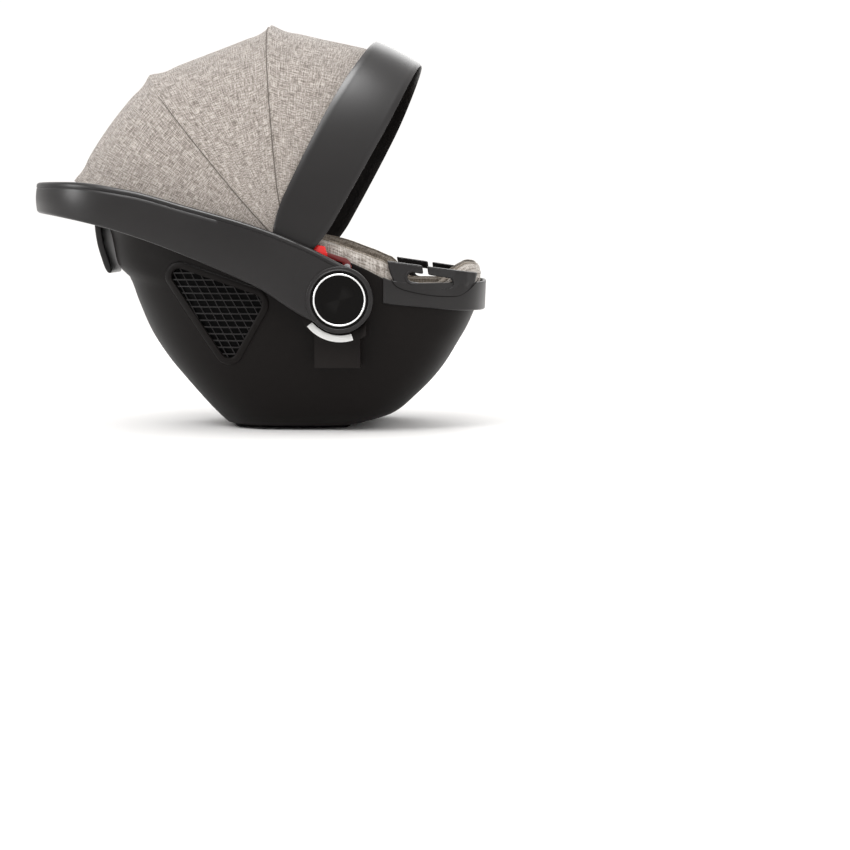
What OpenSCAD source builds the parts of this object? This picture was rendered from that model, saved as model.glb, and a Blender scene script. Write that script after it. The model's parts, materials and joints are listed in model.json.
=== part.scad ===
// Rear-facing infant car seat: moulded bucket shell with a folding carry handle, a folding
// canopy on three bows, a padded cover, a three-point harness and belt guides.
// +X points to the foot end, +Y to the occupant's left, +Z up. The floor is Z = 0 and the
// part is centred on X and Y. The handle is stored back behind the head, the canopy is open.

/* [Shell] */
// Half of the shell's width at its rim
shell_half_w = 183; // [172:1:220]
// Distance from the centre to the rim's head end
head_x = 248; // [225:1:300]
// Distance from the centre to the rim's foot end
foot_x = 305.5; // [255:1:367]
// Height of the rim at its head end
rim_head_z = 325; // [300:1:390]
// Height of the rim along the foot end
rim_foot_z = 198; // [180:1:215]
// Height of the shell's flat bottom above the floor
base_z = 6; // [4:1:12]
// Wall of the shell
shell_wall = 3; // [2:0.5:4]
// Width of the rim moulding that stands outside the shell
rim_band = 3.5; // [2.5:0.5:5]
// Height of the rim moulding around the foot end
rim_band_h = 34; // [26:1:40]

/* [Padding] */
// Thickness of the foam liner
foam_t = 9; // [6:1:12]
// Thickness of the padded cover
cover_t = 16; // [12:1:22]
// Height that the cover stands above the rim
cover_rise = 20; // [12:1:26]
// Thickness of the head support
head_pad_t = 20; // [14:1:26]

/* [Handle] */
// Distance from the centre to the handle axis
hub_x = 117; // [100:1:135]
// Height of the handle axis
hub_z = 179; // [165:1:190]
// Gap between the canopy's pin heads and the inner face of the handle arms
arm_gap = 4.3; // [3:0.1:8]
// Thickness of the handle arms and of the grip bar
arm_t = 14; // [11:1:18]
// Gap between the rim's head end and the grip bar
grip_gap = 47; // [35:1:60]
// Height of the grip bar
grip_h = 40; // [34:1:46]
// Radius of the handle hubs
hub_r = 43.7; // [40:0.1:48]
// Radius of the press button in each hub
button_r = 32; // [26:0.5:34]
// Travel of the press button
button_travel = 4; // [3:0.5:4]
// Wall of the hollow handle
handle_wall = 2.6; // [2:0.2:3.2]
// Radius of the steel pivot bolt
bolt_r = 6; // [5:0.5:7]

/* [Canopy] */
// Distance from the centre to the canopy axis
canopy_x = 46; // [30:1:60]
// Height of the canopy axis
canopy_z = 244; // [238:1:250]
// Reach of the front bow from the canopy axis
bow_reach = 306; // [300:1:360]
// Half of the front bow's width across its flat band
bow_half_w = 38; // [30:1:42]
// Thickness of the front bow
bow_t = 3.5; // [2.5:0.5:4]
// Angle of the rear bow above the foot direction
rear_angle = 130; // [126:1:134]
// Angle of the middle bow
mid_angle = 96; // [92:1:100]
// Angle of the front bow
front_angle = 62; // [58:1:66]
// Width of the two thin bows
thin_bow_w = 6; // [4:1:8]
// Radius of the pin at the canopy axis
canopy_pin_r = 4; // [3:0.5:5]

/* [Belt guides] */
// Thickness of the lap belt guides
guide_t = 8; // [7:0.5:10]
// Height of the belt slot
guide_slot_h = 12; // [10:0.5:13]
// Width of the entry gap between the fingers
guide_gap = 6; // [5:0.5:9]
// Width of the shoulder belt hook at the back
hook_w = 92; // [70:1:120]
// Gap between the shoulder belt hook and the shell
hook_gap = 5; // [4.5:0.5:8]

/* [Harness] */
// Width of the harness webbing
strap_w = 32; // [25:1:38]
// Thickness of the harness webbing
strap_t = 1.6; // [1.2:0.1:2]
// Distance from the middle to each shoulder strap
strap_y = 36; // [32:1:42]
// Width of the shoulder pads
pad_w = 46; // [40:1:52]

/* [Stroller sockets] */
// Width of the socket slot
socket_w = 30; // [24:1:34]
// Depth of the socket slot towards the shell
socket_d = 8; // [6:0.5:9]
// Length of the socket slot
socket_l = 38; // [30:1:44]

/* [Hidden] */

plastic_black = [0.13, 0.125, 0.12];
satin_black = [0.17, 0.165, 0.165];
fabric_grey = [0.62, 0.59, 0.55];
fabric_dark = [0.42, 0.38, 0.34];
signal_red = [0.85, 0.06, 0.05];
steel = [0.75, 0.75, 0.77];
gear_grey = [0.35, 0.35, 0.37];
webbing_black = [0.12, 0.12, 0.12];
foam_dark = [0.16, 0.16, 0.16];
collar_white = [0.95, 0.95, 0.94];
ring_bright = [0.93, 0.93, 0.94];
button_black = [0.05, 0.05, 0.05];
button_grey = [0.3, 0.3, 0.3];

// Gap left between two pieces that lie against each other
lay_gap = 0.3;
// Gap left round a piece that slides in another
slide_gap = 0.2;
// Radial clearance of a shaft that turns in its bore
running_gap = 0.08;
far = 900;

// ---------------------------------------------------------------- layers beside the shell
// Distances from the middle, outwards: the bows' lugs, the thin bows, the fabric, the front
// bow, the heads of the canopy pins and the handle arms
lug_t = 2;
rear_lug_y = shell_half_w + 1.4;
mid_lug_y = rear_lug_y + lug_t + 0.5;
thin_arch_y = mid_lug_y + lug_t;
panel_y = thin_arch_y + 4;
front_bow_in_y = panel_y + 2;
front_bow_out_y = front_bow_in_y + bow_t;
pin_head_y = front_bow_out_y + 0.3;
pin_head_t = 2;
arm_in_y = pin_head_y + pin_head_t + arm_gap;

// ---------------------------------------------------------------- the shell's form
ring_n = 40;
heights = [0, 0.035, 0.1, 0.2, 0.31, 0.43, 0.56, 0.68, 0.76, 0.86, 0.93, 1];
rear_round = 2.5;
foot_round = 4.4;

// Side view of the rim, from the head end to the foot end
rim_line = [[-head_x, rim_head_z], [canopy_x, rim_foot_z + 54], [100, rim_foot_z + 40],
    [146, rim_foot_z + 21], [186, rim_foot_z + 3], [220, rim_foot_z], [foot_x, rim_foot_z]];

// Height of the rim line over a point on the X axis
function rim_z(x) = lookup(x, rim_line);

// Head end, foot end and half width of the shell, by share of the rim's height
function rear_x(h) = head_x * lookup(h, [[0, -0.21], [0.07, -0.29], [0.2, -0.425],
    [0.31, -0.535], [0.43, -0.63], [0.56, -0.7], [0.66, -0.75], [0.7, -0.81],
    [0.85, -0.855], [0.93, -0.92], [1, -1]]);
function front_x(h) = foot_x * lookup(h, [[0, 0.46], [0.07, 0.6], [0.2, 0.7], [0.31, 0.77],
    [0.43, 0.83], [0.56, 0.88], [0.7, 0.93], [0.85, 0.97], [1, 1]]);
function half_w(h) = shell_half_w * lookup(h, [[0, 0.67], [0.035, 0.73], [0.1, 0.79],
    [0.2, 0.85], [0.31, 0.9], [0.43, 0.94], [0.56, 0.968], [0.7, 0.985], [0.85, 0.995],
    [1, 1]]);

function signed_pow(v, p) = sign(v) * pow(abs(v), p);

// One ring point of the form, offset outwards by off
function ring_point(h, a, off, lift) =
    let (xr = rear_x(h) - off, xf = front_x(h) + off, xm = (xr + xf) / 2,
         p = 2 / (cos(a) > 0 ? foot_round : rear_round),
         x = xm + (xf - xr) / 2 * signed_pow(cos(a), p),
         y = (half_w(h) + off) * signed_pow(sin(a), p),
         zb = base_z - off)
    [x, y, zb + h * (rim_z(x) - zb) + lift];

// The bucket's outer form, offset by off, closed along the rim line or going straight up from
// it to a lid raised by top
module shell_form(off, top) {
    rows = concat([for (h = heights) [h, 0]], top > 0 ? [[1, top]] : []);
    last = len(rows) - 1;
    points = [for (r = rows) for (i = [0:ring_n - 1])
        ring_point(r[0], i * 360 / ring_n, off, r[1])];
    wall = [for (k = [0:last - 1]) for (i = [0:ring_n - 1])
        let (j = (i + 1) % ring_n, p = k * ring_n, q = p + ring_n)
        each [[p + i, q + i, q + j], [p + i, q + j, p + j]]];
    lid = [for (i = [0:ring_n / 2 - 1])
        let (q = last * ring_n, a = q + i, b = q + i + 1,
             c = q + (ring_n - i - 1) % ring_n, d = q + (ring_n - i) % ring_n)
        i == 0 ? [a, c, b] : i == ring_n / 2 - 1 ? [a, d, b] : [a, d, c, b]];
    bottom = [[for (i = [0:ring_n - 1]) i]];
    polyhedron(points, concat(wall, lid, bottom), convexity = 6);
}

// The layer between two offsets of the form, both raised well past the rim by top
module shell_layer(outer, inner, top) {
    difference() {
        shell_form(outer, top);
        shell_form(inner, top + 40);
    }
}

// Extrudes a side view, drawn as [x, z], from y0 to y1
module side_extrude(y0, y1) {
    translate([0, y1, 0]) rotate([90, 0, 0]) linear_extrude(y1 - y0) children();
}

// Everything below the rim line lowered by drop
module below_rim(drop) {
    side_extrude(-far, far)
        polygon([[-far, rim_head_z - drop], for (p = rim_line) p - [0, drop],
            [far, rim_foot_z - drop], [far, -far], [-far, -far]]);
}

// A cylinder along Y from y0 to y1, at [x, z]
module y_rod(x, z, y0, y1, r) {
    translate([x, y0, z]) rotate([-90, 0, 0]) cylinder(h = y1 - y0, r = r, $fn = 72);
}

// The same piece on the occupant's left, mirrored
module on_left() { mirror([0, 1, 0]) children(); }

// ---------------------------------------------------------------- side vents
// Rounded triangle of the vent opening, grown by g
module vent_outline(g) {
    hull() {
        translate([-head_x * 0.399, rim_head_z * 0.64]) circle(r = 11 + g, $fn = 24);
        translate([-2, hub_z - 7]) circle(r = 14 + g, $fn = 24);
        translate([-34, hub_z - 68]) circle(r = 11 + g, $fn = 24);
    }
}

vent_bezel_w = 10;
bar_pitch = 9;
rib_pitch = 21;

module vent_bars() {
    for (z = [90:bar_pitch:230]) translate([-140, z]) square([180, 2]);
    for (i = [0:9]) translate([-150 + i * rib_pitch, 240]) rotate(-62) square([190, 1.4]);
}

module vent_bezel() {
    intersection() {
        side_extrude(-far, -60) difference() {
            vent_outline(vent_bezel_w);
            vent_outline(0.2);
        }
        shell_layer(2.4, lay_gap, 0);
    }
}

module vent_grille() {
    intersection() {
        side_extrude(-far, -60) union() {
            intersection() {
                vent_outline(-lay_gap);
                vent_bars();
            }
            difference() {
                vent_outline(-lay_gap);
                vent_outline(-2.5);
            }
        }
        shell_layer(-0.5, 0.4 - shell_wall, 0);
    }
}

// ---------------------------------------------------------------- shell and base
housing_screw_places = [[-30, 16], [30, 16], [0, -34]];
screw_boss_r = 5;

// The screw bosses inside one side of the shell, from the wall to the screw heads
module screw_bosses() {
    for (p = housing_screw_places)
        y_rod(hub_x + p[0], hub_z + p[1], -far, -screw_head_y, screw_boss_r);
}

module shell() {
    color(plastic_black) difference() {
        shell_form(0, 0);
        difference() {
            shell_form(-shell_wall, 40);
            for (s = [0, 1]) mirror([0, s, 0]) screw_bosses();
        }
        side_extrude(-far, far) vent_outline(0);
        for (p = housing_screw_places)
            y_rod(hub_x + p[0], hub_z + p[1], -far, far, screw_r + slide_gap);
        y_rod(canopy_x, canopy_z, -far, far, canopy_pin_r + slide_gap);
        y_rod(lever_x, lever_z, -far, far, lever_pin_r + slide_gap);
    }
}

module foot_rim() {
    color(satin_black) difference() {
        shell_form(rim_band, 3);
        shell_form(lay_gap, lay_gap);
        shell_form(-shell_wall - 0.5, 40);
        below_rim(rim_band_h);
        translate([-far, -far, -far]) cube([far + foot_rim_start, 2 * far, 2 * far]);
        side_extrude(-far, far) guide_outline(0.5);
    }
}
foot_rim_start = hub_x + hub_r + 8;

runner_w = 20;
runner_y = 66;
module base_runners() {
    color(plastic_black) for (s = [-1, 1])
        side_extrude(s * runner_y - runner_w / 2, s * runner_y + runner_w / 2)
            polygon([[-36, base_z - lay_gap], [-32, 1.5], [-28, 0], [118, 0],
                [122, 1.5], [126, base_z - lay_gap]]);
}

liner_off = -shell_wall - 1;
cover_off = liner_off - foam_t - 1;
inner_off = cover_off - cover_t;
guide_start = 178;
guide_in_y = 112;
// Drop of the liner's top edge below the rim line
liner_drop = 8;

module foam_liner() {
    color(foam_dark) difference() {
        intersection() {
            shell_form(liner_off, 0);
            below_rim(liner_drop);
        }
        shell_form(liner_off - foam_t, 40);
        for (p = housing_screw_places)
            y_rod(hub_x + p[0], hub_z + p[1], -far, far, screw_boss_r + 1);
        yoke_at() cube([yoke_pocket, yoke_w + 10, yoke_l + 20], center = true);
    }
}

// ---------------------------------------------------------------- soft parts
// Where the cover's raised lip stops beside the lap belt guides
guide_room_y = guide_in_y - 4;
guide_room_l = 134;
// The cover's lip: how far it reaches down inside the rim and its step to the padding
lip_off = -shell_wall - 1.2;
lip_drop = 7;
lip_step = 4;
module seat_cover() {
    color(fabric_grey) difference() {
        union() {
            shell_form(cover_off, cover_rise - lip_step);
            difference() {
                shell_form(lip_off, cover_rise);
                below_rim(lip_drop);
            }
        }
        shell_form(inner_off, 60);
        for (s = [-1, 1])
            translate([guide_start - 4, s > 0 ? guide_room_y : -far, rim_foot_z - 6])
                cube([guide_room_l, far - guide_room_y, 60]);
    }
}

head_off = inner_off - 2;
// Drop of the head support's top edge below the rim line
head_drop = 14;
head_low_z = rim_foot_z + 16;
head_front_x = -60;
module head_support() {
    color(fabric_dark) intersection() {
        difference() {
            shell_form(head_off, 0);
            shell_form(head_off - head_pad_t, 60);
        }
        below_rim(head_drop);
        translate([-far, -far, head_low_z]) cube([far + head_front_x, 2 * far, far]);
    }
}

// ---------------------------------------------------------------- belt guides
guide_z = rim_foot_z + 6;

// Side view of the lap belt guide, grown by g
module guide_outline(g) {
    offset(delta = g) polygon([[guide_start, guide_z + 26], [298, guide_z + 9],
        [293, guide_z - 6], [283, guide_z - 15], [273, guide_z - 20], [252, guide_z - 20],
        [235, guide_z - 18], [215, guide_z - 13.5], [197, guide_z - 9],
        [187, guide_z - 3], [181, guide_z + 11]]);
}

module guide_slot() {
    slot_r = guide_slot_h / 2;
    slot_end = [258, guide_z - 3.5];
    slot_start = [211, guide_z + 4];
    hull() {
        translate(slot_start) circle(r = slot_r, $fn = 32);
        translate(slot_end) circle(r = slot_r, $fn = 32);
    }
    translate([227, guide_z]) rotate(8) square([guide_gap, 40]);
}

module lap_belt_guide() {
    color(satin_black) difference() {
        intersection() {
            side_extrude(-far, -guide_in_y) difference() {
                guide_outline(0);
                guide_slot();
            }
            shell_layer(rim_band, rim_band - guide_t, 60);
        }
        shell_form(lay_gap, lay_gap);
    }
}

// Hook that holds the shoulder belt round the shell's back
module shoulder_belt_guide() {
    hook_t = 12;
    hook_x = rear_x(0.85) - hook_gap;
    color(satin_black) difference() {
        side_extrude(-hook_w / 2, hook_w / 2)
            polygon([[hook_x + 18, 206], [hook_x + 10, 204], [hook_x + 3, 208],
                [hook_x - 4, 222], [hook_x - 9, 244], [hook_x - hook_t - 1, 272],
                [hook_x - hook_t - 4, 288], [hook_x + 24, 296], [hook_x + 24, 278],
                [hook_x + 2, 268], [hook_x + 5, 246], [hook_x + 11, 224]]);
        shell_form(lay_gap, 40);
    }
}

// ---------------------------------------------------------------- handle joint
side_wall_y = half_w(0.85);
housing_out_y = arm_in_y - 2.2;
handle_floor_y = arm_in_y - 1.5;
floor_t = 3.5;
gear_t = 6;
gear_out_y = housing_out_y - 0.8;
gear_in_r = bolt_r + 5.3;
boss_r = gear_in_r - slide_gap - 0.1;
gear_r = 24;
tooth_r = 27.5;
tooth_n = 12;
cavity_y = gear_out_y - gear_t - button_travel - 4;
screw_r = 2;
leg_r = 2.5;
leg_ring = 19;
hub_out_y = arm_in_y + arm_t;

module gear_outline(g) {
    circle(r = gear_r + g, $fn = 72);
    for (i = [0:tooth_n - 1]) rotate(i * 360 / tooth_n)
        translate([0, -2 - g]) square([tooth_r + g, 4 + 2 * g]);
}

// Fixed round housing on the shell's side that holds the lock gear
module pivot_housing() {
    color(plastic_black) difference() {
        y_rod(hub_x, hub_z, -housing_out_y, -100, hub_r - 2);
        shell_form(lay_gap, 40);
        difference() {
            translate([hub_x, -cavity_y, hub_z]) rotate([90, 0, 0])
                linear_extrude(40) gear_outline(slide_gap + 0.1);
            y_rod(hub_x, hub_z, -far, -100, boss_r);
        }
        y_rod(hub_x, hub_z, -far, -cavity_y - 1, bolt_r + 0.02);
        for (p = housing_screw_places)
            y_rod(hub_x + p[0], hub_z + p[1], -screw_end_y, -100, screw_r + 0.02);
        y_rod(lever_x, lever_z, -lever_y0 - lever_t - 2.5, -100, lever_eye_r + 1.5);
    }
}
screw_end_y = cavity_y + 6;
screw_head_y = half_w(0.55) - shell_wall - 1.2;

module housing_screws() {
    color(steel) for (s = [0, 1]) mirror([0, s, 0]) for (p = housing_screw_places) {
        y_rod(hub_x + p[0], hub_z + p[1], 0.5 - screw_end_y, -screw_head_y, screw_r);
        y_rod(hub_x + p[0], hub_z + p[1], -screw_head_y, 2 - screw_head_y, 2 * screw_r);
    }
}

module pivot_bolt() {
    color(steel) {
        y_rod(hub_x, hub_z, -handle_floor_y - floor_t, -cavity_y - 2, bolt_r);
        y_rod(hub_x, hub_z, -handle_floor_y - floor_t - 3.8, -handle_floor_y - floor_t - 0.1,
            bolt_r + 4);
    }
}

module lock_gear() {
    color(gear_grey) translate([hub_x, gear_t - gear_out_y, hub_z])
        rotate([90, 0, 0]) linear_extrude(gear_t) difference() {
            gear_outline(0);
            circle(r = gear_in_r, $fn = 72);
        }
}

// Coil spring that pushes the gear outwards
spring_wire_r = 1;
spring_r = gear_in_r + spring_wire_r + 0.6;
spring_turns = 2.5;
module lock_spring() {
    steps = 45;
    sides = 6;
    y0 = cavity_y + spring_wire_r + 0.2;
    y1 = gear_out_y - gear_t - spring_wire_r - 0.2;
    points = [for (k = [0:steps]) for (i = [0:sides - 1])
        let (t = k / steps, a = t * spring_turns * 360, b = i * 360 / sides,
             r = spring_r + spring_wire_r * cos(b))
        [hub_x + r * cos(a), -(y0 + (y1 - y0) * t) - spring_wire_r * sin(b),
         hub_z + r * sin(a)]];
    wall = [for (k = [0:steps - 1]) for (i = [0:sides - 1])
        let (j = (i + 1) % sides, p = k * sides, q = p + sides)
        each [[p + i, q + j, q + i], [p + i, p + j, q + j]]];
    ends = [[for (i = [sides - 1:-1:0]) i],
        [for (i = [0:sides - 1]) steps * sides + i]];
    color(steel) polyhedron(points, concat(wall, ends), convexity = 6);
}

// ---------------------------------------------------------------- stroller sockets
socket_out_y = housing_out_y - 2.5;
collar_in_r = hub_r + 3.3;
collar_out_r = hub_r + 12.3;
socket_x = hub_x - 5;
socket_top = hub_z - 52;
socket_bottom = socket_top - socket_l;
latch_h = 10;
latch_z = socket_bottom + 14;
latch_reach = 4;
socket_slot_y = side_wall_y + 4.5;

module socket_outline() {
    difference() {
        union() {
            translate([socket_x - socket_w / 2 - 14, socket_bottom])
                square([socket_w + 30, socket_l + 22]);
            translate([hub_x, hub_z]) circle(r = collar_out_r + 2, $fn = 96);
        }
        translate([hub_x, hub_z]) circle(r = hub_r + 1, $fn = 96);
        translate([hub_x - 100, socket_top + 32]) square([200, 200]);
        translate([hub_x + 34, socket_bottom - 1]) square([100, 200]);
    }
}

module adapter_socket() {
    color(plastic_black) difference() {
        side_extrude(-socket_out_y, -100) socket_outline();
        shell_form(lay_gap, 40);
        translate([socket_x - socket_w / 2, -socket_slot_y - socket_d, socket_bottom - 10])
            cube([socket_w, socket_d, socket_l + 10]);
        translate([socket_x + socket_w / 2 - 1, -socket_slot_y - socket_d + 1 - slide_gap,
                latch_z - slide_gap])
            cube([13, socket_d - 2 + 2 * slide_gap, latch_h + 2 * slide_gap]);
    }
}

// White collar that follows the hub's edge over the socket
module socket_collar() {
    color(collar_white) translate([hub_x, -socket_out_y - lay_gap / 2, hub_z])
        rotate([90, 0, 0]) linear_extrude(2) intersection() {
            difference() {
                circle(r = collar_out_r, $fn = 120);
                circle(r = collar_in_r, $fn = 120);
            }
            polygon([[0, 0], 100 * [cos(-72), sin(-72)], 140 * [cos(-106), sin(-106)],
                100 * [cos(-141), sin(-141)]]);
        }
}

module adapter_latch() {
    x0 = socket_x + socket_w / 2;
    color(steel) translate([0, -socket_slot_y - 1, 0]) rotate([90, 0, 0])
        linear_extrude(socket_d - 2)
            polygon([[x0 - latch_reach, latch_z + latch_h], [x0 + 6, latch_z + latch_h],
                [x0 + 6, latch_z], [x0, latch_z], [x0 - latch_reach, latch_z + 5]]);
}

// Red lever on the rim above each hub that draws the socket's latch back
lever_pin_r = 2.5;
lever_eye_r = 5.5;
lever_x = 126;
lever_z = rim_z(lever_x) - 6;
lever_y0 = shell_half_w + 1.2;
lever_t = 8;
module lever_outline() {
    translate([lever_x, lever_z]) polygon([[-45, 17], [-43, 30], [-29, 27], [-27.5, 19.5],
        [-1, 11.5], [4, 7], [4, 0], [-4, 0], [-7, 6], [-28, 12]]);
}

module release_lever() {
    color(signal_red) difference() {
        union() {
            side_extrude(-lever_y0 - lever_t, -lever_y0) lever_outline();
            y_rod(lever_x, lever_z, -lever_y0 - lever_t, -lever_y0, lever_eye_r);
        }
        y_rod(lever_x, lever_z, -far, far, lever_pin_r + running_gap);
    }
}

module lever_pins() {
    out_y = lever_y0 + lever_t + lay_gap;
    color(steel) for (s = [0, 1]) mirror([0, s, 0]) {
        y_rod(lever_x, lever_z, side_wall_y - shell_wall + 0.4, out_y, lever_pin_r);
        y_rod(lever_x, lever_z, out_y, out_y + 1.5, lever_pin_r + 2);
    }
}

// ---------------------------------------------------------------- canopy
arch_round = 2.5;
lug_r = canopy_pin_r + 5;
panel_t = 1.6;
panel_start_r = 16;

// Arch in the [r, y] plane: reach r over half width w
function arch_point(a, r, w) = [r * pow(sin(a), 2 / arch_round),
    w * signed_pow(cos(a), 2 / arch_round)];

module arch_band(r, w, t, n) {
    polygon(concat([for (i = [0:n]) arch_point(i * 180 / n, r, w)],
        [for (i = [n:-1:0]) arch_point(i * 180 / n, r - t, w - t)]));
}

// Places a piece drawn with +X out along a bow, at the given angle above the foot direction
module at_bow(angle) {
    translate([canopy_x, 0, canopy_z]) rotate([0, -angle, 0]) children();
}

module thin_bow(angle, reach, lug_y, steps) {
    at_bow(angle) difference() {
        union() {
            difference() {
                translate([0, 0, -thin_bow_w / 2]) linear_extrude(thin_bow_w)
                    arch_band(reach, thin_arch_y, 4, steps);
                cube([92, far, far], center = true);
            }
            for (s = [-1, 1]) {
                y0 = s > 0 ? lug_y : -lug_y - lug_t;
                translate([0, y0, -thin_bow_w / 2]) cube([50, lug_t, thin_bow_w]);
                y_rod(0, 0, y0, y0 + lug_t, lug_r);
            }
        }
        y_rod(0, 0, -far, far, canopy_pin_r + running_gap);
    }
}

rear_reach = bow_reach + 3;
mid_reach = bow_reach - 1;

module canopy_rear_bow() { color(steel) thin_bow(rear_angle, rear_reach - 6, rear_lug_y, 44); }

module canopy_middle_bow() { color(steel) thin_bow(mid_angle, mid_reach - 6, mid_lug_y, 44); }

// Side view of the front bow along its own length, with a rounded lower end
module front_bow_outline() {
    polygon([[-14, -12], [0, -22], [24, -33], [60, -bow_half_w], [200, -bow_half_w - 2],
        [bow_reach + 9, -bow_half_w + 3], [bow_reach + 9, bow_half_w - 3],
        [200, bow_half_w + 2], [60, bow_half_w - 2], [24, 30], [0, 20], [-14, 10]]);
}

module canopy_front_bow() {
    color(satin_black) at_bow(front_angle) difference() {
        intersection() {
            union() {
                translate([0, 0, -60]) linear_extrude(120)
                    arch_band(bow_reach, front_bow_out_y, bow_t, 56);
                for (s = [-1, 1])
                    translate([-30, s > 0 ? front_bow_in_y : -front_bow_out_y, -60])
                        cube([32, bow_t, 120]);
            }
            rotate([90, 0, 0]) linear_extrude(2 * far, center = true) front_bow_outline();
        }
        y_rod(0, 0, -far, far, canopy_pin_r + running_gap);
    }
}

module canopy_pins() {
    color(steel) for (s = [0, 1]) mirror([0, s, 0]) {
        y_rod(canopy_x, canopy_z, side_wall_y - shell_wall + 0.4, pin_head_y, canopy_pin_r);
        y_rod(canopy_x, canopy_z, pin_head_y, pin_head_y + pin_head_t, lug_r);
    }
}

// A fabric panel between two angles: reach r0 to r1, drawn in by sag half way
module canopy_panel(a0, a1, r0, r1, sag) {
    rows = 5;
    cols = 22;
    start = asin(pow(panel_start_r / r0, arch_round / 2));
    function reach(t) = r0 + (r1 - r0) * t - 4 * sag * t * (1 - t);
    function spot(t, c, inset) =
        let (angle = a0 + (a1 - a0) * t, a = start + (180 - 2 * start) * c / cols,
             p = arch_point(a, reach(t) - inset, panel_y - inset - 6 * t * (1 - t)))
        [canopy_x + p[0] * cos(angle), p[1], canopy_z + p[0] * sin(angle)];
    n = cols + 1;
    outer = [for (k = [0:rows]) for (c = [0:cols]) spot(k / rows, c, 0)];
    inner = [for (k = [0:rows]) for (c = [0:cols]) spot(k / rows, c, panel_t)];
    m = len(outer);
    skin = [for (k = [0:rows - 1]) for (c = [0:cols - 1])
        let (p = k * n + c, q = p + n)
        each [[p, p + 1, q + 1], [p, q + 1, q],
            [m + p, m + q + 1, m + p + 1], [m + p, m + q, m + q + 1]]];
    ends = [for (c = [0:cols - 1]) let (q = rows * n + c)
        each [[c, m + c, m + c + 1], [c, m + c + 1, c + 1],
            [q, q + 1, m + q + 1], [q, m + q + 1, m + q]]];
    sides = [for (k = [0:rows - 1]) let (p = k * n, q = p + n, e = p + cols, f = e + n)
        each [[p, q, m + q], [p, m + q, m + p], [e, m + e, m + f], [e, m + f, f]]];
    polyhedron(concat(outer, inner), concat(skin, ends, sides), convexity = 6);
}

panel_gap = 0.15;
// Place of the rear hem past and above the rim's head end
hem_out = 10;
hem_rise = 12;
hem_spot = [-head_x - hem_out - canopy_x, rim_head_z + hem_rise - canopy_z];
hem_angle = atan2(hem_spot[1], hem_spot[0]);
module canopy_rear_panel() {
    color(fabric_grey)
        canopy_panel(hem_angle, rear_angle + panel_gap, norm(hem_spot), rear_reach, 6);
}
module canopy_middle_panel() {
    color(fabric_grey)
        canopy_panel(rear_angle - panel_gap, mid_angle + panel_gap, rear_reach, mid_reach, 15);
}
module canopy_front_panel() {
    color(fabric_grey)
        canopy_panel(mid_angle - panel_gap, front_angle, mid_reach, bow_reach - bow_t - 6, 12);
}

// ---------------------------------------------------------------- handle
handle_back = -head_x - grip_gap - arm_t;
bend_start = -130;
handle_top_z = 335;
bend_round = 2.6;

// Plan of the handle's outer or inner face, at distance d outside the arms' inner face
function plan_points(d) = let (w = arm_in_y + d, l = bend_start - handle_back - arm_t + d)
    concat([[hub_x, w]],
        [for (a = [90:-4.5:-90]) [bend_start - l * pow(cos(a), 2 / bend_round),
            w * signed_pow(sin(a), 2 / bend_round)]],
        [[hub_x, -w]]);

module plan_band(d_in, d_out) {
    difference() {
        polygon(plan_points(d_out));
        polygon(concat(plan_points(d_in), [[hub_x + 50, -arm_in_y], [hub_x + 50, arm_in_y]]));
    }
}

// Side view of the handle, drawn in from its edges by inset
module handle_profile(inset) {
    top = [[handle_back - 5, handle_top_z], [-240, handle_top_z - 2], [-159, 322],
        [-89, 303.5], [12, 273.5], [82, 245], [108, 232], [hub_x + 12, 221]];
    low = [[hub_x - 38, 153], [51, 167], [14, 191], [-14, 206], [-89, 238], [-139, 257],
        [-194, 274], [-260, handle_top_z - grip_h - 6],
        [handle_back - 5, handle_top_z - grip_h]];
    offset(delta = -inset) union() {
        polygon(concat(top, low));
        translate([hub_x, hub_z]) circle(r = hub_r, $fn = 96);
    }
}

module handle_form(d_in, d_out, inset) {
    intersection() {
        translate([0, 0, 40]) linear_extrude(400) plan_band(d_in, d_out);
        side_extrude(-far, far) handle_profile(inset);
    }
}

module hub_body() {
    difference() {
        union() {
            y_rod(hub_x, hub_z, -hub_out_y, -handle_floor_y, hub_r);
            y_rod(hub_x, hub_z, -hub_out_y - 1.6, -handle_floor_y, hub_r - 5);
        }
        y_rod(hub_x, hub_z, -far, -handle_floor_y - floor_t, ring_out_r + 0.05);
        y_rod(hub_x, hub_z, -far, far, bolt_r + running_gap);
        for (a = [90, 210, 330])
            y_rod(hub_x + leg_ring * cos(a), hub_z + leg_ring * sin(a), -far, far,
                leg_r + slide_gap);
    }
}
ring_out_r = button_r + 2.6;

module handle_outer() {
    color(satin_black) {
        difference() {
            handle_form(0, arm_t, 0);
            handle_form(-1, arm_t - handle_wall, handle_wall);
            for (s = [0, 1]) mirror([0, s, 0])
                y_rod(hub_x, hub_z, -far, -100, hub_r - 1);
        }
        for (s = [0, 1]) mirror([0, s, 0]) hub_body();
    }
}

module handle_cover() {
    color(satin_black) difference() {
        handle_form(0.4, 3, handle_wall + lay_gap);
        for (s = [0, 1]) mirror([0, s, 0]) y_rod(hub_x, hub_z, -far, -100, hub_r + lay_gap);
    }
}

module hub_button() {
    y_face = hub_out_y + 0.6;
    color(button_black) {
        y_rod(hub_x, hub_z, -y_face, 3.5 - y_face, button_r);
        difference() {
            y_rod(hub_x, hub_z, 3 - y_face, 6.5 - y_face, button_r);
            y_rod(hub_x, hub_z, -far, far, button_r - 4);
        }
        for (a = [90, 210, 330])
            y_rod(hub_x + leg_ring * cos(a), hub_z + leg_ring * sin(a), 3 - y_face,
                -gear_out_y - 0.3, leg_r);
    }
}

module hub_ring() {
    color(ring_bright) difference() {
        y_rod(hub_x, hub_z, -hub_out_y - 1.8, -hub_out_y + 8, ring_out_r);
        y_rod(hub_x, hub_z, -far, far, button_r + slide_gap);
    }
}

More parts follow.
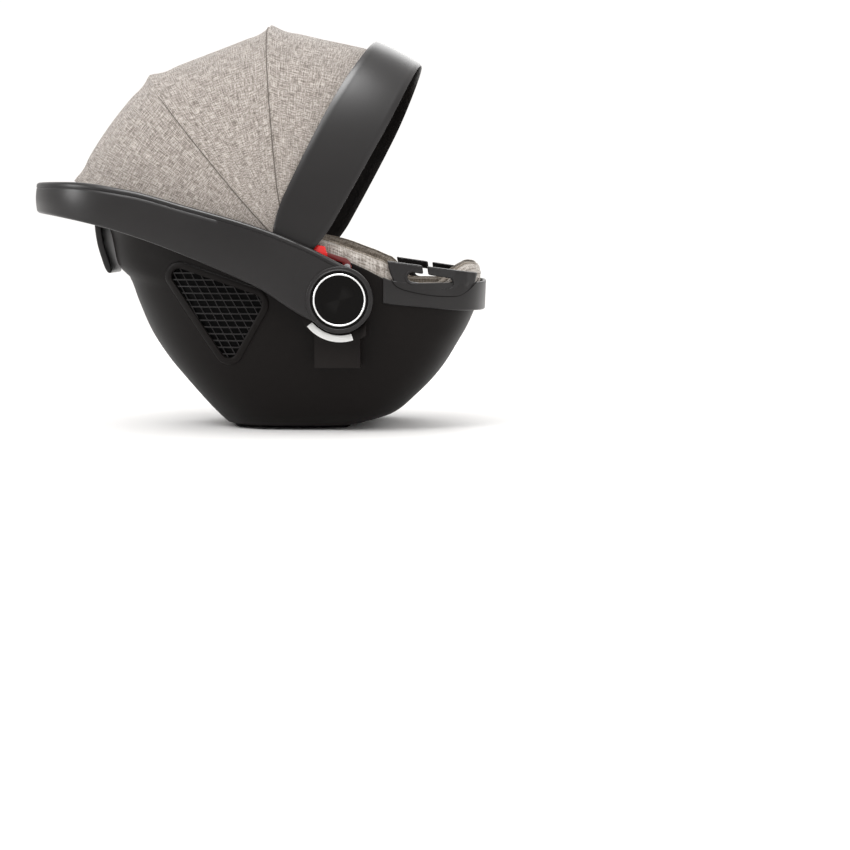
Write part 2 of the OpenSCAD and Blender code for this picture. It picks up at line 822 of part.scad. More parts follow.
// ---------------------------------------------------------------- harness
// A point on the cover's back, at share h of the rim's height, lifted off it
function back_point(h, lift) =
    let (x = rear_x(h) - inner_off, zb = base_z - inner_off)
    [x + lift * 0.8, zb + h * (rim_z(x) - zb) + lift * 0.6];

seat_z = base_z - inner_off;
strap_lift = 15;
pad_t = 12;
// Gap round the webbing inside a pad or a slot
web_gap = 0.4;
strap_path = [for (h = [0.6, 0.5, 0.4, 0.3, 0.2, 0.1]) back_point(h, strap_lift)];

// A point on one edge of a band of thickness t along a side-view path
function band_edge(path, t, i, side) =
    let (a = path[max(i - 1, 0)], b = path[min(i + 1, len(path) - 1)], d = b - a)
    path[i] + side * t / 2 * [-d[1], d[0]] / norm(d);

// Side view of a band of thickness t
module band_path(path, t) {
    n = len(path) - 1;
    polygon(concat([for (i = [0:n]) band_edge(path, t, i, 1)],
        [for (i = [n:-1:0]) band_edge(path, t, i, -1)]));
}

// A band of webbing along a side-view path, with its own middle and half width at each point
module web_band(path, t, middles, halves) {
    n = len(path) - 1;
    points = [for (i = [0:n])
        let (a = band_edge(path, t, i, 1), b = band_edge(path, t, i, -1),
             y0 = middles[i] - halves[i], y1 = middles[i] + halves[i])
        each [[a[0], y0, a[1]], [a[0], y1, a[1]], [b[0], y1, b[1]], [b[0], y0, b[1]]]];
    wall = [for (i = [0:n - 1]) for (k = [0:3]) let (j = (k + 1) % 4, p = 4 * i, q = p + 4)
        each [[p + k, p + j, q + j], [p + k, q + j, q + k]]];
    polyhedron(points, concat([[3, 2, 1, 0]], wall, [[for (k = [0:3]) 4 * n + k]]),
        convexity = 4);
}

buckle_x = 40;
buckle_z = seat_z + 27;
buckle_lean = 25;
buckle_l = 44;
buckle_w = 62;
buckle_t = 18;
buckle_button_x = 4;
buckle_button_l = 24;
buckle_button_w = 30;
tongue_y = 17;
tongue_w = 16;
tongue_l = 22;
tongue_end = buckle_l / 2 + 11;

// A point in the side view, given along and above the leaning buckle's own axes
function buckle_point(along, above) = [
    buckle_x + along * cos(buckle_lean) - above * sin(buckle_lean),
    buckle_z + along * sin(buckle_lean) + above * cos(buckle_lean)];

strap_route = concat(strap_path,
    [buckle_point(-tongue_end - 8, 0), buckle_point(-tongue_end - 0.1, 0)]);
// The webbing's middle and half width where it turns in from the pads to the buckle
turn_y = 30;
turn_half_w = 14;

module shoulder_strap() {
    color(webbing_black) web_band(strap_route, strap_t,
        -1 * concat([for (i = [0:4]) strap_y], [turn_y, tongue_y + 1, tongue_y]),
        concat([for (i = [0:4]) strap_w / 2], [turn_half_w, tongue_w / 2, tongue_w / 2]));
}

module shoulder_pad() {
    color(fabric_dark) difference() {
        side_extrude(-strap_y - pad_w / 2, min(-strap_y + pad_w / 2, -4))
            band_path([for (i = [0:3]) back_point(0.56 - 0.1 * i, strap_lift)], pad_t);
        side_extrude(-strap_y - strap_w / 2 - 0.5, -strap_y + strap_w / 2 + 0.5)
            band_path(strap_route, strap_t + 2 * web_gap);
    }
}

// Places a piece on the buckle's own axes, leaning back
module at_buckle() {
    translate([buckle_x, 0, buckle_z]) rotate([0, -buckle_lean, 0]) children();
}

module rounded_block(l, w, h, r) {
    translate([0, 0, -h / 2]) linear_extrude(h) offset(r = r, $fn = 32)
        square([l - 2 * r, w - 2 * r], center = true);
}

module buckle_body() {
    color(plastic_black) at_buckle() difference() {
        rounded_block(buckle_l, buckle_w, buckle_t, 8);
        translate([buckle_button_x, 0, 6])
            rounded_block(buckle_button_l + 2 * slide_gap, buckle_button_w + 2 * slide_gap, 12, 4);
        for (s = [-1, 1])
            translate([-buckle_l / 2 - 8, s * tongue_y - tongue_w / 2 - 1, -2])
                cube([20, tongue_w + 2, 4]);
    }
}

module buckle_button() {
    color(signal_red) at_buckle() translate([buckle_button_x, 0, buckle_t / 2 - 2.5])
        rounded_block(buckle_button_l, buckle_button_w, 6, 4);
}

module buckle_tongues() {
    color(steel) at_buckle() for (s = [-1, 1])
        translate([-tongue_end, s * tongue_y - tongue_w / 2, -1]) cube([tongue_l, tongue_w, 2]);
}

crotch_w = 30;
crotch_pad_w = 48;
module crotch_strap() {
    color(webbing_black) side_extrude(-crotch_w / 2, crotch_w / 2)
        band_path([[buckle_x + 33, seat_z + 1.2], [buckle_x + 32.5, buckle_z],
            buckle_point(buckle_l / 2 + 6, 0), buckle_point(buckle_l / 2 + 0.1, 0)], 2);
}

module crotch_pad() {
    color(fabric_dark) side_extrude(-crotch_pad_w / 2, crotch_pad_w / 2)
        band_path([[buckle_x - 24, seat_z + 4], [buckle_x + 8, seat_z + 4.5],
            [buckle_x + 24, seat_z + 5]], 6);
}

// Plate behind the cover that joins the two shoulder straps to the adjuster
yoke_h = 0.5;
yoke_t = 2;
yoke_w = 80;
yoke_l = 26;
yoke_pocket = yoke_t + 3;
module yoke_at() {
    x = rear_x(yoke_h) - liner_off + foam_t;
    translate([x - 4, 0, base_z + foam_t + yoke_h * rim_z(x)])
        rotate([0, -24, 0]) children();
}
module harness_yoke() {
    color(steel) yoke_at() cube([yoke_t, yoke_w, yoke_l], center = true);
}

adjuster_x = front_x(0) + inner_off - 18;
adjuster_l = 30;
adjuster_w = 46;
adjuster_t = 8;
// Height of the adjuster's middle above the seat
adjuster_rise = adjuster_t / 2 + 0.6;
adjuster_button_x = -3;
adjuster_button_l = 16;
adjuster_button_w = 22;
adjuster_strap_w = 28;

// A point on the cover's front slope, at share h of the rim's height, lifted off it
function front_point(h, lift) =
    let (x = front_x(h) + inner_off, zb = base_z - inner_off)
    [x - lift * 0.4, zb + h * (rim_foot_z - zb) + lift * 0.9];

module adjuster_housing() {
    color(plastic_black) translate([adjuster_x, 0, seat_z + adjuster_rise]) difference() {
        rounded_block(adjuster_l, adjuster_w, adjuster_t, 6);
        translate([adjuster_button_x, 0, 3])
            rounded_block(adjuster_button_l + 2 * slide_gap, adjuster_button_w + 2 * slide_gap, 8, 4);
        translate([adjuster_l / 2 - 7, -adjuster_strap_w / 2 - 3, -1.4])
            cube([20, adjuster_strap_w + 6, 2.8]);
    }
}

module adjuster_button() {
    color(button_grey) translate([adjuster_x + adjuster_button_x, 0, seat_z + adjuster_t + 1])
        rounded_block(adjuster_button_l, adjuster_button_w, 4, 4);
}

module adjuster_strap() {
    start = [adjuster_x + adjuster_l / 2 - 6, seat_z + adjuster_rise];
    color(webbing_black) side_extrude(-adjuster_strap_w / 2, adjuster_strap_w / 2)
        band_path([start, start + [9, 0],
            front_point(0.07, 6), front_point(0.2, 6), front_point(0.31, 6)], strap_t);
}

// ---------------------------------------------------------------- the assembly
shell();
foot_rim();
base_runners();
foam_liner();
seat_cover();
head_support();
color(plastic_black) vent_bezel();  // vent_bezel_right
color(plastic_black) on_left() vent_bezel();  // vent_bezel_left
color(plastic_black) vent_grille();  // vent_grille_right
color(plastic_black) on_left() vent_grille();  // vent_grille_left
lap_belt_guide();  // lap_belt_guide_right
on_left() lap_belt_guide();  // lap_belt_guide_left
shoulder_belt_guide();
pivot_housing();  // pivot_housing_right
on_left() pivot_housing();  // pivot_housing_left
housing_screws();
pivot_bolt();  // pivot_bolt_right
on_left() pivot_bolt();  // pivot_bolt_left
lock_gear();  // lock_gear_right
on_left() lock_gear();  // lock_gear_left
lock_spring();  // lock_spring_right
on_left() lock_spring();  // lock_spring_left
adapter_socket();  // adapter_socket_right
on_left() adapter_socket();  // adapter_socket_left
socket_collar();  // socket_collar_right
on_left() socket_collar();  // socket_collar_left
adapter_latch();  // adapter_latch_right
on_left() adapter_latch();  // adapter_latch_left
release_lever();  // release_lever_right
on_left() release_lever();  // release_lever_left
lever_pins();
canopy_pins();
canopy_rear_bow();
canopy_middle_bow();
canopy_front_bow();
canopy_rear_panel();
canopy_middle_panel();
canopy_front_panel();
handle_outer();
handle_cover();
hub_button();  // hub_button_right
on_left() hub_button();  // hub_button_left
hub_ring();  // hub_ring_right
on_left() hub_ring();  // hub_ring_left
shoulder_strap();  // shoulder_strap_right
on_left() shoulder_strap();  // shoulder_strap_left
shoulder_pad();  // shoulder_pad_right
on_left() shoulder_pad();  // shoulder_pad_left
buckle_tongues();
crotch_strap();
crotch_pad();
buckle_body();
buckle_button();
harness_yoke();
adjuster_housing();
adjuster_button();
adjuster_strap();
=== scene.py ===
"""Looks of the infant car seat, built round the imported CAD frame. Metres, +X to the foot end."""
import json
import math
import bpy
import bmesh
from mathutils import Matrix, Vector, noise


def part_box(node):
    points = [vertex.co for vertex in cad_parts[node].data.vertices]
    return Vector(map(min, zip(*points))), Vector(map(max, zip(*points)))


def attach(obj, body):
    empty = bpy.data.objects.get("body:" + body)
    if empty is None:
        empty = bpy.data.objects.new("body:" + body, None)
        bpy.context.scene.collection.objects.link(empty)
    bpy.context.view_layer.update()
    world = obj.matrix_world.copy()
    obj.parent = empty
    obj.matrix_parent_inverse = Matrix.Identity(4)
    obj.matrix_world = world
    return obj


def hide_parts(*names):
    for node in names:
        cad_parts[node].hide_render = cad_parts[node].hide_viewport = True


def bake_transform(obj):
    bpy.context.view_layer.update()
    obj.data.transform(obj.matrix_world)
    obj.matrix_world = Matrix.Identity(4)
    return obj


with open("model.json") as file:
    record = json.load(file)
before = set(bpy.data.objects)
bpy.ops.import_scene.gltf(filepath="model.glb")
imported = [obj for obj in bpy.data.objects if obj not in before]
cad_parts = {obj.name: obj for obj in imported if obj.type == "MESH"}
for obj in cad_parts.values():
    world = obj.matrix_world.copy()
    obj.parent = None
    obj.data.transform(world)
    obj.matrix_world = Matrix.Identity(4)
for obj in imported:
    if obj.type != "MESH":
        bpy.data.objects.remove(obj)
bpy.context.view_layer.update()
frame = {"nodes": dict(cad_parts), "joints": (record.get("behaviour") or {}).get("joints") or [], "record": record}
MM = 0.001

joint_of = {j["name"]: j for j in frame["joints"]}
HUB = Vector(joint_of["handle_pivot"]["pos_m"])
PIVOT = Vector(joint_of["canopy_rear_fold"]["pos_m"])
SHELL_LOW, SHELL_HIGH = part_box("shell")
SIDES = ((-1, "right"), (1, "left"))
HANDLE_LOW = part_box("handle_outer")[0]
BOW_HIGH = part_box("canopy_front_bow")[1]


# ------------------------------------------------------------------ camera, light, floor
def make_camera():
    """A long lens almost square to the seat's right side, a little above it."""
    aim = Vector((0.224, 0.0, -0.0035))
    azimuth, elevation, distance = math.radians(1.3), math.radians(5.0), 3.25
    toward = Vector((math.sin(azimuth) * math.cos(elevation),
                     -math.cos(azimuth) * math.cos(elevation), math.sin(elevation)))
    data = bpy.data.cameras.new("camera")
    data.lens = 98.0
    data.sensor_width = 36.0
    camera = bpy.data.objects.new("camera", data)
    bpy.context.scene.collection.objects.link(camera)
    camera.location = aim + distance * toward
    camera.rotation_euler = (-toward).to_track_quat("-Z", "Y").to_euler()
    bpy.context.scene.camera = camera


def area_light(name, place, target, size, power):
    """A round light that faces a target."""
    data = bpy.data.lights.new(name, "AREA")
    data.shape = "DISK"
    data.size = size
    data.energy = power
    light = bpy.data.objects.new(name, data)
    bpy.context.scene.collection.objects.link(light)
    light.location = place
    light.rotation_euler = (Vector(target) - Vector(place)).to_track_quat("-Z", "Y").to_euler()
    return light


def make_light():
    """White surroundings, brighter overhead, with soft lights on both sides."""
    world = bpy.data.worlds.new("studio")
    bpy.context.scene.world = world
    world.use_nodes = True
    tree = world.node_tree
    background = tree.nodes["Background"]
    place = tree.nodes.new("ShaderNodeTexCoord")
    split = tree.nodes.new("ShaderNodeSeparateXYZ")
    sky = tree.nodes.new("ShaderNodeMapRange")
    path = tree.nodes.new("ShaderNodeLightPath")
    seen = tree.nodes.new("ShaderNodeMix")
    sky.inputs["To Min"].default_value = 0.62
    sky.inputs["To Max"].default_value = 1.45
    seen.inputs[3].default_value = 1.05
    tree.links.new(place.outputs["Generated"], split.inputs[0])
    tree.links.new(split.outputs[2], sky.inputs["Value"])
    tree.links.new(path.outputs["Is Camera Ray"], seen.inputs[0])
    tree.links.new(sky.outputs["Result"], seen.inputs[2])
    tree.links.new(seen.outputs[0], background.inputs["Strength"])
    background.inputs["Color"].default_value = (1.0, 0.982, 0.968, 1.0)
    centre = (0.0, 0.0, 0.25)
    area_light("key", (-0.9, -1.9, 2.3), centre, 1.2, 30)
    area_light("fill", (1.9, -1.6, 0.9), centre, 1.6, 6)
    area_light("back", (0.3, 2.1, 1.6), centre, 1.6, 16)
    glint = area_light("glint", (-2.4, -0.9, 0.9), (-0.3, -0.1, 0.3), 0.8, 30)
    glint.visible_diffuse = False
    gleam = area_light("gleam", (0.1, -0.7, 2.6), (0.0, 0.0, 0.25), 1.4, 110)
    gleam.visible_diffuse = False
    bpy.context.scene.view_settings.view_transform = "Standard"


def make_floor():
    """A plain white floor that belongs to the stage."""
    bpy.ops.mesh.primitive_plane_add(size=120)
    floor = bpy.context.object
    floor.name = "floor"
    material = bpy.data.materials.new("floor_paint")
    material.use_nodes = True
    shader = material.node_tree.nodes["Principled BSDF"]
    shader.inputs["Base Color"].default_value = (0.97, 0.97, 0.965, 1)
    shader.inputs["Roughness"].default_value = 0.7
    floor.data.materials.append(material)


# ------------------------------------------------------------------ materials
class Nodes:
    """A material's node tree with short calls."""

    def __init__(self, name):
        self.material = bpy.data.materials.new(name)
        self.material.use_nodes = True
        self.tree = self.material.node_tree
        self.shader = self.tree.nodes["Principled BSDF"]

    def add(self, kind, **settings):
        node = self.tree.nodes.new(kind)
        for key, value in settings.items():
            setattr(node, key, value)
        return node

    def link(self, source, target):
        self.tree.links.new(source, target)

    def math(self, operation, a, b=None):
        node = self.add("ShaderNodeMath", operation=operation)
        for socket, value in zip(node.inputs, (a, b)):
            if value is None:
                continue
            if isinstance(value, (int, float)):
                socket.default_value = value
            else:
                self.link(value, socket)
        return node.outputs[0]

    def scaled(self, vector, scale):
        node = self.add("ShaderNodeVectorMath", operation="MULTIPLY")
        self.link(vector, node.inputs[0])
        node.inputs[1].default_value = scale
        return node.outputs[0]

    def noise(self, vector, scale, detail=2.0):
        node = self.add("ShaderNodeTexNoise")
        node.inputs["Scale"].default_value = scale
        node.inputs["Detail"].default_value = detail
        self.link(vector, node.inputs["Vector"])
        return node.outputs["Fac"]

    def ramp(self, value, stops):
        node = self.add("ShaderNodeValToRGB")
        ramp = node.color_ramp
        for index, (place, colour) in enumerate(stops):
            if index < 2:
                stop = ramp.elements[index]
                stop.position = place
            else:
                stop = ramp.elements.new(place)
            stop.color = (*colour, 1)
        self.link(value, node.inputs[0])
        return node.outputs[0]

    def mix(self, factor, a, b, blend="MIX"):
        node = self.add("ShaderNodeMix", data_type="RGBA", blend_type=blend)
        sockets = [s for s in node.inputs if s.enabled]
        for socket, value in zip(sockets, (factor, a, b)):
            if isinstance(value, (int, float)):
                socket.default_value = value
            elif isinstance(value, tuple):
                socket.default_value = (*value, 1)
            else:
                self.link(value, socket)
        return [s for s in node.outputs if s.enabled][0]

    def bump(self, height, strength, distance):
        node = self.add("ShaderNodeBump")
        node.inputs["Strength"].default_value = strength
        node.inputs["Distance"].default_value = distance
        self.link(height, node.inputs["Height"])
        self.link(node.outputs[0], self.shader.inputs["Normal"])


def plastic(name, colour, rough, grain=0.25, edge_highlight=1.5, specular=0.4):
    """Moulded plastic: fine spark-eroded grain, cloudy sheen, and convex edges made paler as a painted highlight.
    """
    n = Nodes(name)
    place = n.add("ShaderNodeTexCoord").outputs["Object"]
    cloud = n.noise(place, 9.0, 3.0)
    grains = n.noise(place, 1900.0, 2.0)
    # Paler colour on convex edges, found by pointiness: painted highlight along the edges.
    edge_highlight_tone = tuple(min(1.0, c * edge_highlight + 0.004) for c in colour)
    base = n.ramp(cloud, [(0.3, tuple(c * 0.86 for c in colour)), (0.7, colour)])
    edge = n.ramp(n.add("ShaderNodeNewGeometry").outputs["Pointiness"],
                  [(0.53, (0, 0, 0)), (0.62, (1, 1, 1))])
    n.link(n.mix(edge, base, edge_highlight_tone), n.shader.inputs["Base Color"])
    spread = n.math("MULTIPLY_ADD", cloud, 0.14)
    n.tree.nodes[-1].inputs[2].default_value = rough - 0.07
    n.link(spread, n.shader.inputs["Roughness"])
    n.shader.inputs["Specular IOR Level"].default_value = specular
    n.bump(grains, grain, 0.00012)
    return n.material


def metal(name, colour, rough):
    """Plated metal with fine drawn lines."""
    n = Nodes(name)
    place = n.add("ShaderNodeTexCoord").outputs["Object"]
    lines = n.noise(n.scaled(place, (60.0, 60.0, 2400.0)), 1.0, 3.0)
    n.link(n.ramp(lines, [(0.3, tuple(c * 0.8 for c in colour)), (0.7, colour)]),
           n.shader.inputs["Base Color"])
    spread = n.math("MULTIPLY_ADD", lines, 0.16)
    n.tree.nodes[-1].inputs[2].default_value = rough - 0.08
    n.link(spread, n.shader.inputs["Roughness"])
    n.shader.inputs["Metallic"].default_value = 1.0
    n.bump(lines, 0.15, 0.0001)
    return n.material


def woven(name, dark, middle, light, pitch=0.0011, depth=0.5):
    """Melange cloth: crossed slub threads of mixed tones over a plain weave."""
    n = Nodes(name)
    place = n.add("ShaderNodeUVMap", uv_map="weave").outputs[0]
    turn = 2 * math.pi / pitch
    split = n.add("ShaderNodeSeparateXYZ")
    n.link(place, split.inputs[0])
    across = n.math("SINE", n.math("MULTIPLY", split.outputs[0], turn))
    along = n.math("SINE", n.math("MULTIPLY", split.outputs[1], turn))
    crossing = n.math("MULTIPLY", across, along)
    weft = n.noise(n.scaled(place, (58.0, 700.0, 1.0)), 1.0, 3.0)
    warp = n.noise(n.scaled(place, (700.0, 58.0, 1.0)), 1.0, 3.0)
    fleck = n.noise(n.scaled(place, (420.0, 420.0, 1.0)), 1.0, 1.0)
    patch = n.noise(n.scaled(place, (1.0, 1.0, 1.0)), 26.0, 3.0)
    streaks = n.math("MULTIPLY", n.math("ADD", weft, warp), 0.5)
    mixed = n.math("ADD", n.math("MULTIPLY", streaks, 0.82), n.math("MULTIPLY", fleck, 0.18))
    threads = n.ramp(mixed, [(0.41, dark), (0.59, light), (0.50, middle)])
    weave = n.ramp(n.math("ADD", n.math("MULTIPLY", crossing, 0.5), 0.5),
                   [(0.0, (0.88, 0.88, 0.88)), (1.0, (1.05, 1.05, 1.05))])
    shade = n.ramp(patch, [(0.3, (0.93, 0.93, 0.93)), (0.7, (1.04, 1.04, 1.04))])
    cloth = n.mix(1.0, threads, weave, "MULTIPLY")
    n.link(n.mix(1.0, cloth, shade, "MULTIPLY"), n.shader.inputs["Base Color"])
    n.shader.inputs["Roughness"].default_value = 0.92
    n.shader.inputs["Sheen Weight"].default_value = 0.25
    n.shader.inputs["Sheen Roughness"].default_value = 0.5
    n.shader.inputs["Specular IOR Level"].default_value = 0.2
    n.bump(n.math("ADD", crossing, n.math("MULTIPLY", streaks, 2.5)), depth, 0.0003)
    return n.material


MATERIALS = {
    "shell_plastic": plastic("shell_plastic", (0.0050, 0.0037, 0.0033), 0.50, 0.3, 1.5, 0.11),
    "satin_plastic": plastic("satin_plastic", (0.0098, 0.0086, 0.0088), 0.36, 0.15, 1.5, 0.32),
    "liner_foam": plastic("liner_foam", (0.004, 0.004, 0.004), 0.95, 1.0, 1.5, 0.1),
    "cover_fabric": woven("cover_fabric", (0.23, 0.20, 0.175), (0.43, 0.39, 0.35),
                          (0.66, 0.62, 0.58)),
    "pad_fabric": woven("pad_fabric", (0.145, 0.118, 0.094), (0.262, 0.222, 0.180),
                        (0.42, 0.37, 0.31)),
    "canopy_fabric": woven("canopy_fabric", (0.165, 0.142, 0.122), (0.345, 0.305, 0.275),
                           (0.60, 0.555, 0.515)),
    "webbing": woven("webbing", (0.008, 0.008, 0.008), (0.018, 0.018, 0.018),
                     (0.04, 0.04, 0.04), 0.0016, 0.9),
    "steel": metal("steel", (0.60, 0.60, 0.62), 0.32),
    "bright_trim": metal("bright_trim", (0.93, 0.93, 0.93), 0.38),
    "white_plastic": plastic("white_plastic", (0.80, 0.80, 0.79), 0.35, 0.1, 1.0),
    "button_plastic": plastic("button_plastic", (0.0028, 0.0024, 0.0022), 0.6, 0.2, 1.3, 0.07),
    "red_plastic": plastic("red_plastic", (0.80, 0.010, 0.008), 0.3, 0.1, 1.1, 0.5),
    "grey_plastic": plastic("grey_plastic", (0.06, 0.06, 0.062), 0.45, 0.2),
}
# Darker red copy of the lever's plastic for the part in shadow: painted shade.
LEVER_PAINTED_SHADE = plastic("lever_painted_shade", (0.16, 0.012, 0.012), 0.35, 0.1, 1.1, 0.5)
SEAM = plastic("seam_thread", (0.085, 0.072, 0.060), 0.8, 0.3)
SLOT_OF = {s["node"]: s["material_slot"] for s in frame["record"]["subparts"]}


# ------------------------------------------------------------------ mesh helpers
def box_weave(mesh):
    """Weave coordinates in metres, laid flat along each face's nearest axis."""
    layer = mesh.uv_layers.new(name="weave")
    for face in mesh.polygons:
        size = [abs(c) for c in face.normal]
        axis = size.index(max(size))
        first, second = [(1, 2), (0, 2), (0, 1)][axis]
        for loop in face.loop_indices:
            place = mesh.vertices[mesh.loops[loop].vertex_index].co
            layer.data[loop].uv = (place[first], place[second])


def lay_weave(obj, place):
    """Lays the weave by vertex number instead of by the faces' directions."""
    layer = obj.data.uv_layers.new(name="weave")
    for loop in obj.data.loops:
        layer.data[loop.index].uv = place(loop.vertex_index)


def finish_piece(obj, body, slot, material=None, nodes=(), crease=None):
    """Shades a piece, gives it its material (the slot's own unless one is given), hangs it on its body, and hides
    the CAD nodes it stands for.
    """
    for face in obj.data.polygons:
        face.use_smooth = True
    if "weave" not in obj.data.uv_layers:
        box_weave(obj.data)
    if not obj.data.materials:
        obj.data.materials.append(material or MATERIALS[slot])
    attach(obj, body)
    if nodes:
        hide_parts(*nodes)
    if crease:
        obj.data.set_sharp_from_angle(angle=math.radians(crease))
    return obj


def new_object(name, vertices, faces):
    """An object with its faces turned outwards."""
    mesh = bpy.data.meshes.new(name)
    mesh.from_pydata([tuple(v) for v in vertices], [], faces)
    mesh.validate()
    work = bmesh.new()
    work.from_mesh(mesh)
    bmesh.ops.recalc_face_normals(work, faces=work.faces)
    work.to_mesh(mesh)
    work.free()
    obj = bpy.data.objects.new(name, mesh)
    bpy.context.scene.collection.objects.link(obj)
    return obj


def skin(count, width, base=0, closed=False):
    """Faces between equal rings of points, capped at both ends or joined up when closed."""
    faces = []
    for i in range(count if closed else count - 1):
        a, b = base + i * width, base + (i + 1) % count * width
        for k in range(width):
            m = (k + 1) % width
            faces.append((a + k, b + k, b + m, a + m))
    if not closed:
        end = base + count * width
        faces.append(tuple(range(base, base + width)))
        faces.append(tuple(range(end - 1, end - width - 1, -1)))
    return faces


def loft(name, sections, closed=False):
    """A skin over equal closed sections."""
    vertices = [p for section in sections for p in section]
    return new_object(name, vertices, skin(len(sections), len(sections[0]), 0, closed))


def run_at(path, i):
    """Which way an open path runs at its point i."""
    return path[min(i + 1, len(path) - 1)] - path[max(i - 1, 0)]


def cord_frame(direction):
    """Two directions square to a cord's direction."""
    side = direction.cross(Vector((0.31, 0.17, 0.94))).normalized()
    return side, side.cross(direction)


def evenly(lengths, wants):
    """(index, share) of rising distances on a path with these running lengths."""
    k = 0
    for want in wants:
        while k < len(lengths) - 2 and lengths[k + 1] < want:
            k += 1
        yield k, (want - lengths[k]) / max(1e-9, lengths[k + 1] - lengths[k])


def even_ring(dense, count):
    """Evenly spaced points on a closed path of dense points."""
    lengths = [0.0]
    for i in range(len(dense)):
        lengths.append(lengths[-1] + (dense[(i + 1) % len(dense)] - dense[i]).length)
    wants = [lengths[-1] * i / count for i in range(count)]
    return [dense[k].lerp(dense[(k + 1) % len(dense)], t) for k, t in evenly(lengths, wants)]


def signed_power(value, power):
    """A power that keeps the sign of its value."""
    return math.copysign(abs(value) ** power, value)


def lathe(name, centre, side, profile):
    """Turns (radius, |y|) points in millimetres about the Y axis, on one side of the seat."""
    steps, rings = 128, []
    for i in range(steps):
        angle = 2 * math.pi * i / steps
        rings.append([Vector((centre.x + r * MM * math.cos(angle), side * y * MM,
                              centre.z + r * MM * math.sin(angle))) for r, y in profile])
    return loft(name, rings, closed=True)


def tube(name, path, radius, sides=8, closed=False):
    """A round cord along a path of points."""
    sections = []
    count = len(path)
    for i, place in enumerate(path):
        if closed:
            direction = path[(i + 1) % count] - path[i - 1]
        else:
            direction = run_at(path, i)
        side, up = cord_frame(direction.normalized())
        sections.append([place + radius * (math.cos(a) * side + math.sin(a) * up)
                         for a in (2 * math.pi * k / sides for k in range(sides))])
    return loft(name, sections, closed)


def smooth_table(points):
    """A smooth curve through (x, value) points, without overshoot."""
    xs = [p[0] for p in points]
    ys = [p[1] for p in points]
    steps = [(ys[i + 1] - ys[i]) / (xs[i + 1] - xs[i]) for i in range(len(xs) - 1)]
    slopes = [steps[0]]
    for a, b in zip(steps, steps[1:]):
        slopes.append(0.0 if a * b <= 0 else 2 * a * b / (a + b))
    slopes.append(steps[-1])

    def value(x):
        if x <= xs[0]:
            return ys[0]
        if x >= xs[-1]:
            return ys[-1]
        i = max(k for k in range(len(xs) - 1) if xs[k] <= x)
        h = xs[i + 1] - xs[i]
        t = (x - xs[i]) / h
        return ((2 * t ** 3 - 3 * t * t + 1) * ys[i] + (t ** 3 - 2 * t * t + t) * h * slopes[i]
                + (3 * t * t - 2 * t ** 3) * ys[i + 1] + (t ** 3 - t * t) * h * slopes[i + 1])
    return value


def rounded_section(width, height, radius):
    """Closed outline of a rounded rectangle about its middle, as (u, v)."""
    steps, points = 5, []
    for cx, cy, start in ((1, 1, 0), (-1, 1, 90), (-1, -1, 180), (1, -1, 270)):
        for i in range(steps + 1):
            a = math.radians(start + 90 * i / steps)
            points.append((cx * (width / 2 - radius) + radius * math.cos(a),
                           cy * (height / 2 - radius) + radius * math.sin(a)))
    return points


def cad_copy(node, name):
    """A new object with the CAD node's mesh and no material."""
    obj = bpy.data.objects.new(name, frame["nodes"][node].data.copy())
    bpy.context.scene.collection.objects.link(obj)
    obj.data.materials.clear()
    return obj


def refined(node, body, width=0.0007):
    """The CAD node's shape with bevelled edges, standing for it."""
    obj = cad_copy(node, node + "_looks")
    work = bmesh.new()
    work.from_mesh(obj.data)
    bmesh.ops.remove_doubles(work, verts=work.verts, dist=0.00002)
    bmesh.ops.dissolve_limit(work, angle_limit=math.radians(1.0), verts=work.verts,
                             edges=work.edges)
    work.to_mesh(obj.data)
    work.free()
    bevel = obj.modifiers.new("edges", "BEVEL")
    bevel.width = width
    bevel.segments = 3
    bevel.limit_method = "ANGLE"
    bevel.angle_limit = math.radians(28)
    bevel.harden_normals = True
    apply_modifiers(obj)
    return finish_piece(obj, body, SLOT_OF[node], nodes=(node,))


def voxels(obj, size):
    """Adds an even remesh."""
    remesh = obj.modifiers.new("voxels", "REMESH")
    remesh.mode = "VOXEL"
    remesh.voxel_size = size
    return remesh


def moulded(node, body, voxel, rounds):
    """The CAD node's shape with its edges rounded over, standing for it."""
    obj = cad_copy(node, node + "_looks")
    voxels(obj, voxel).use_smooth_shade = True
    obj.modifiers.new("smooth", "SMOOTH").iterations = rounds
    apply_modifiers(obj)
    return finish_piece(obj, body, SLOT_OF[node], nodes=(node,))


def apply_modifiers(obj):
    """Makes the modifiers' result the object's own mesh."""
    bpy.context.view_layer.update()
    ready = obj.evaluated_get(bpy.context.evaluated_depsgraph_get())
    mesh = bpy.data.meshes.new_from_object(ready)
    obj.modifiers.clear()
    obj.data = mesh


# ------------------------------------------------------------------ the shell's form
FOOT_X = SHELL_HIGH.x / MM
HEAD_X = -SHELL_LOW.x / MM
HALF_W = SHELL_HIGH.y / MM
BASE_Z = SHELL_LOW.z / MM
RIM_HEAD = SHELL_HIGH.z / MM
RIM_FOOT = 198.0
REAR_ROUND, FOOT_ROUND = 2.5, 4.4
DENSE = 1440
rim_line = smooth_table([(-HEAD_X, RIM_HEAD), (46, RIM_FOOT + 54), (100, RIM_FOOT + 40),
                         (146, RIM_FOOT + 21), (186, RIM_FOOT + 3), (220, RIM_FOOT),
                         (FOOT_X, RIM_FOOT)])
rear_line = smooth_table([(0, -0.21), (0.07, -0.29), (0.2, -0.425), (0.31, -0.535),
                          (0.43, -0.63), (0.56, -0.7), (0.66, -0.75), (0.7, -0.81),
                          (0.85, -0.855), (0.93, -0.92), (1, -1)])
front_line = smooth_table([(0, 0.46), (0.07, 0.6), (0.2, 0.7), (0.31, 0.77), (0.43, 0.83),
                           (0.56, 0.88), (0.7, 0.93), (0.85, 0.97), (1, 1)])
width_line = smooth_table([(0, 0.67), (0.035, 0.73), (0.1, 0.79), (0.2, 0.85), (0.31, 0.9),
                           (0.43, 0.94), (0.56, 0.968), (0.7, 0.985), (0.85, 0.995), (1, 1)])


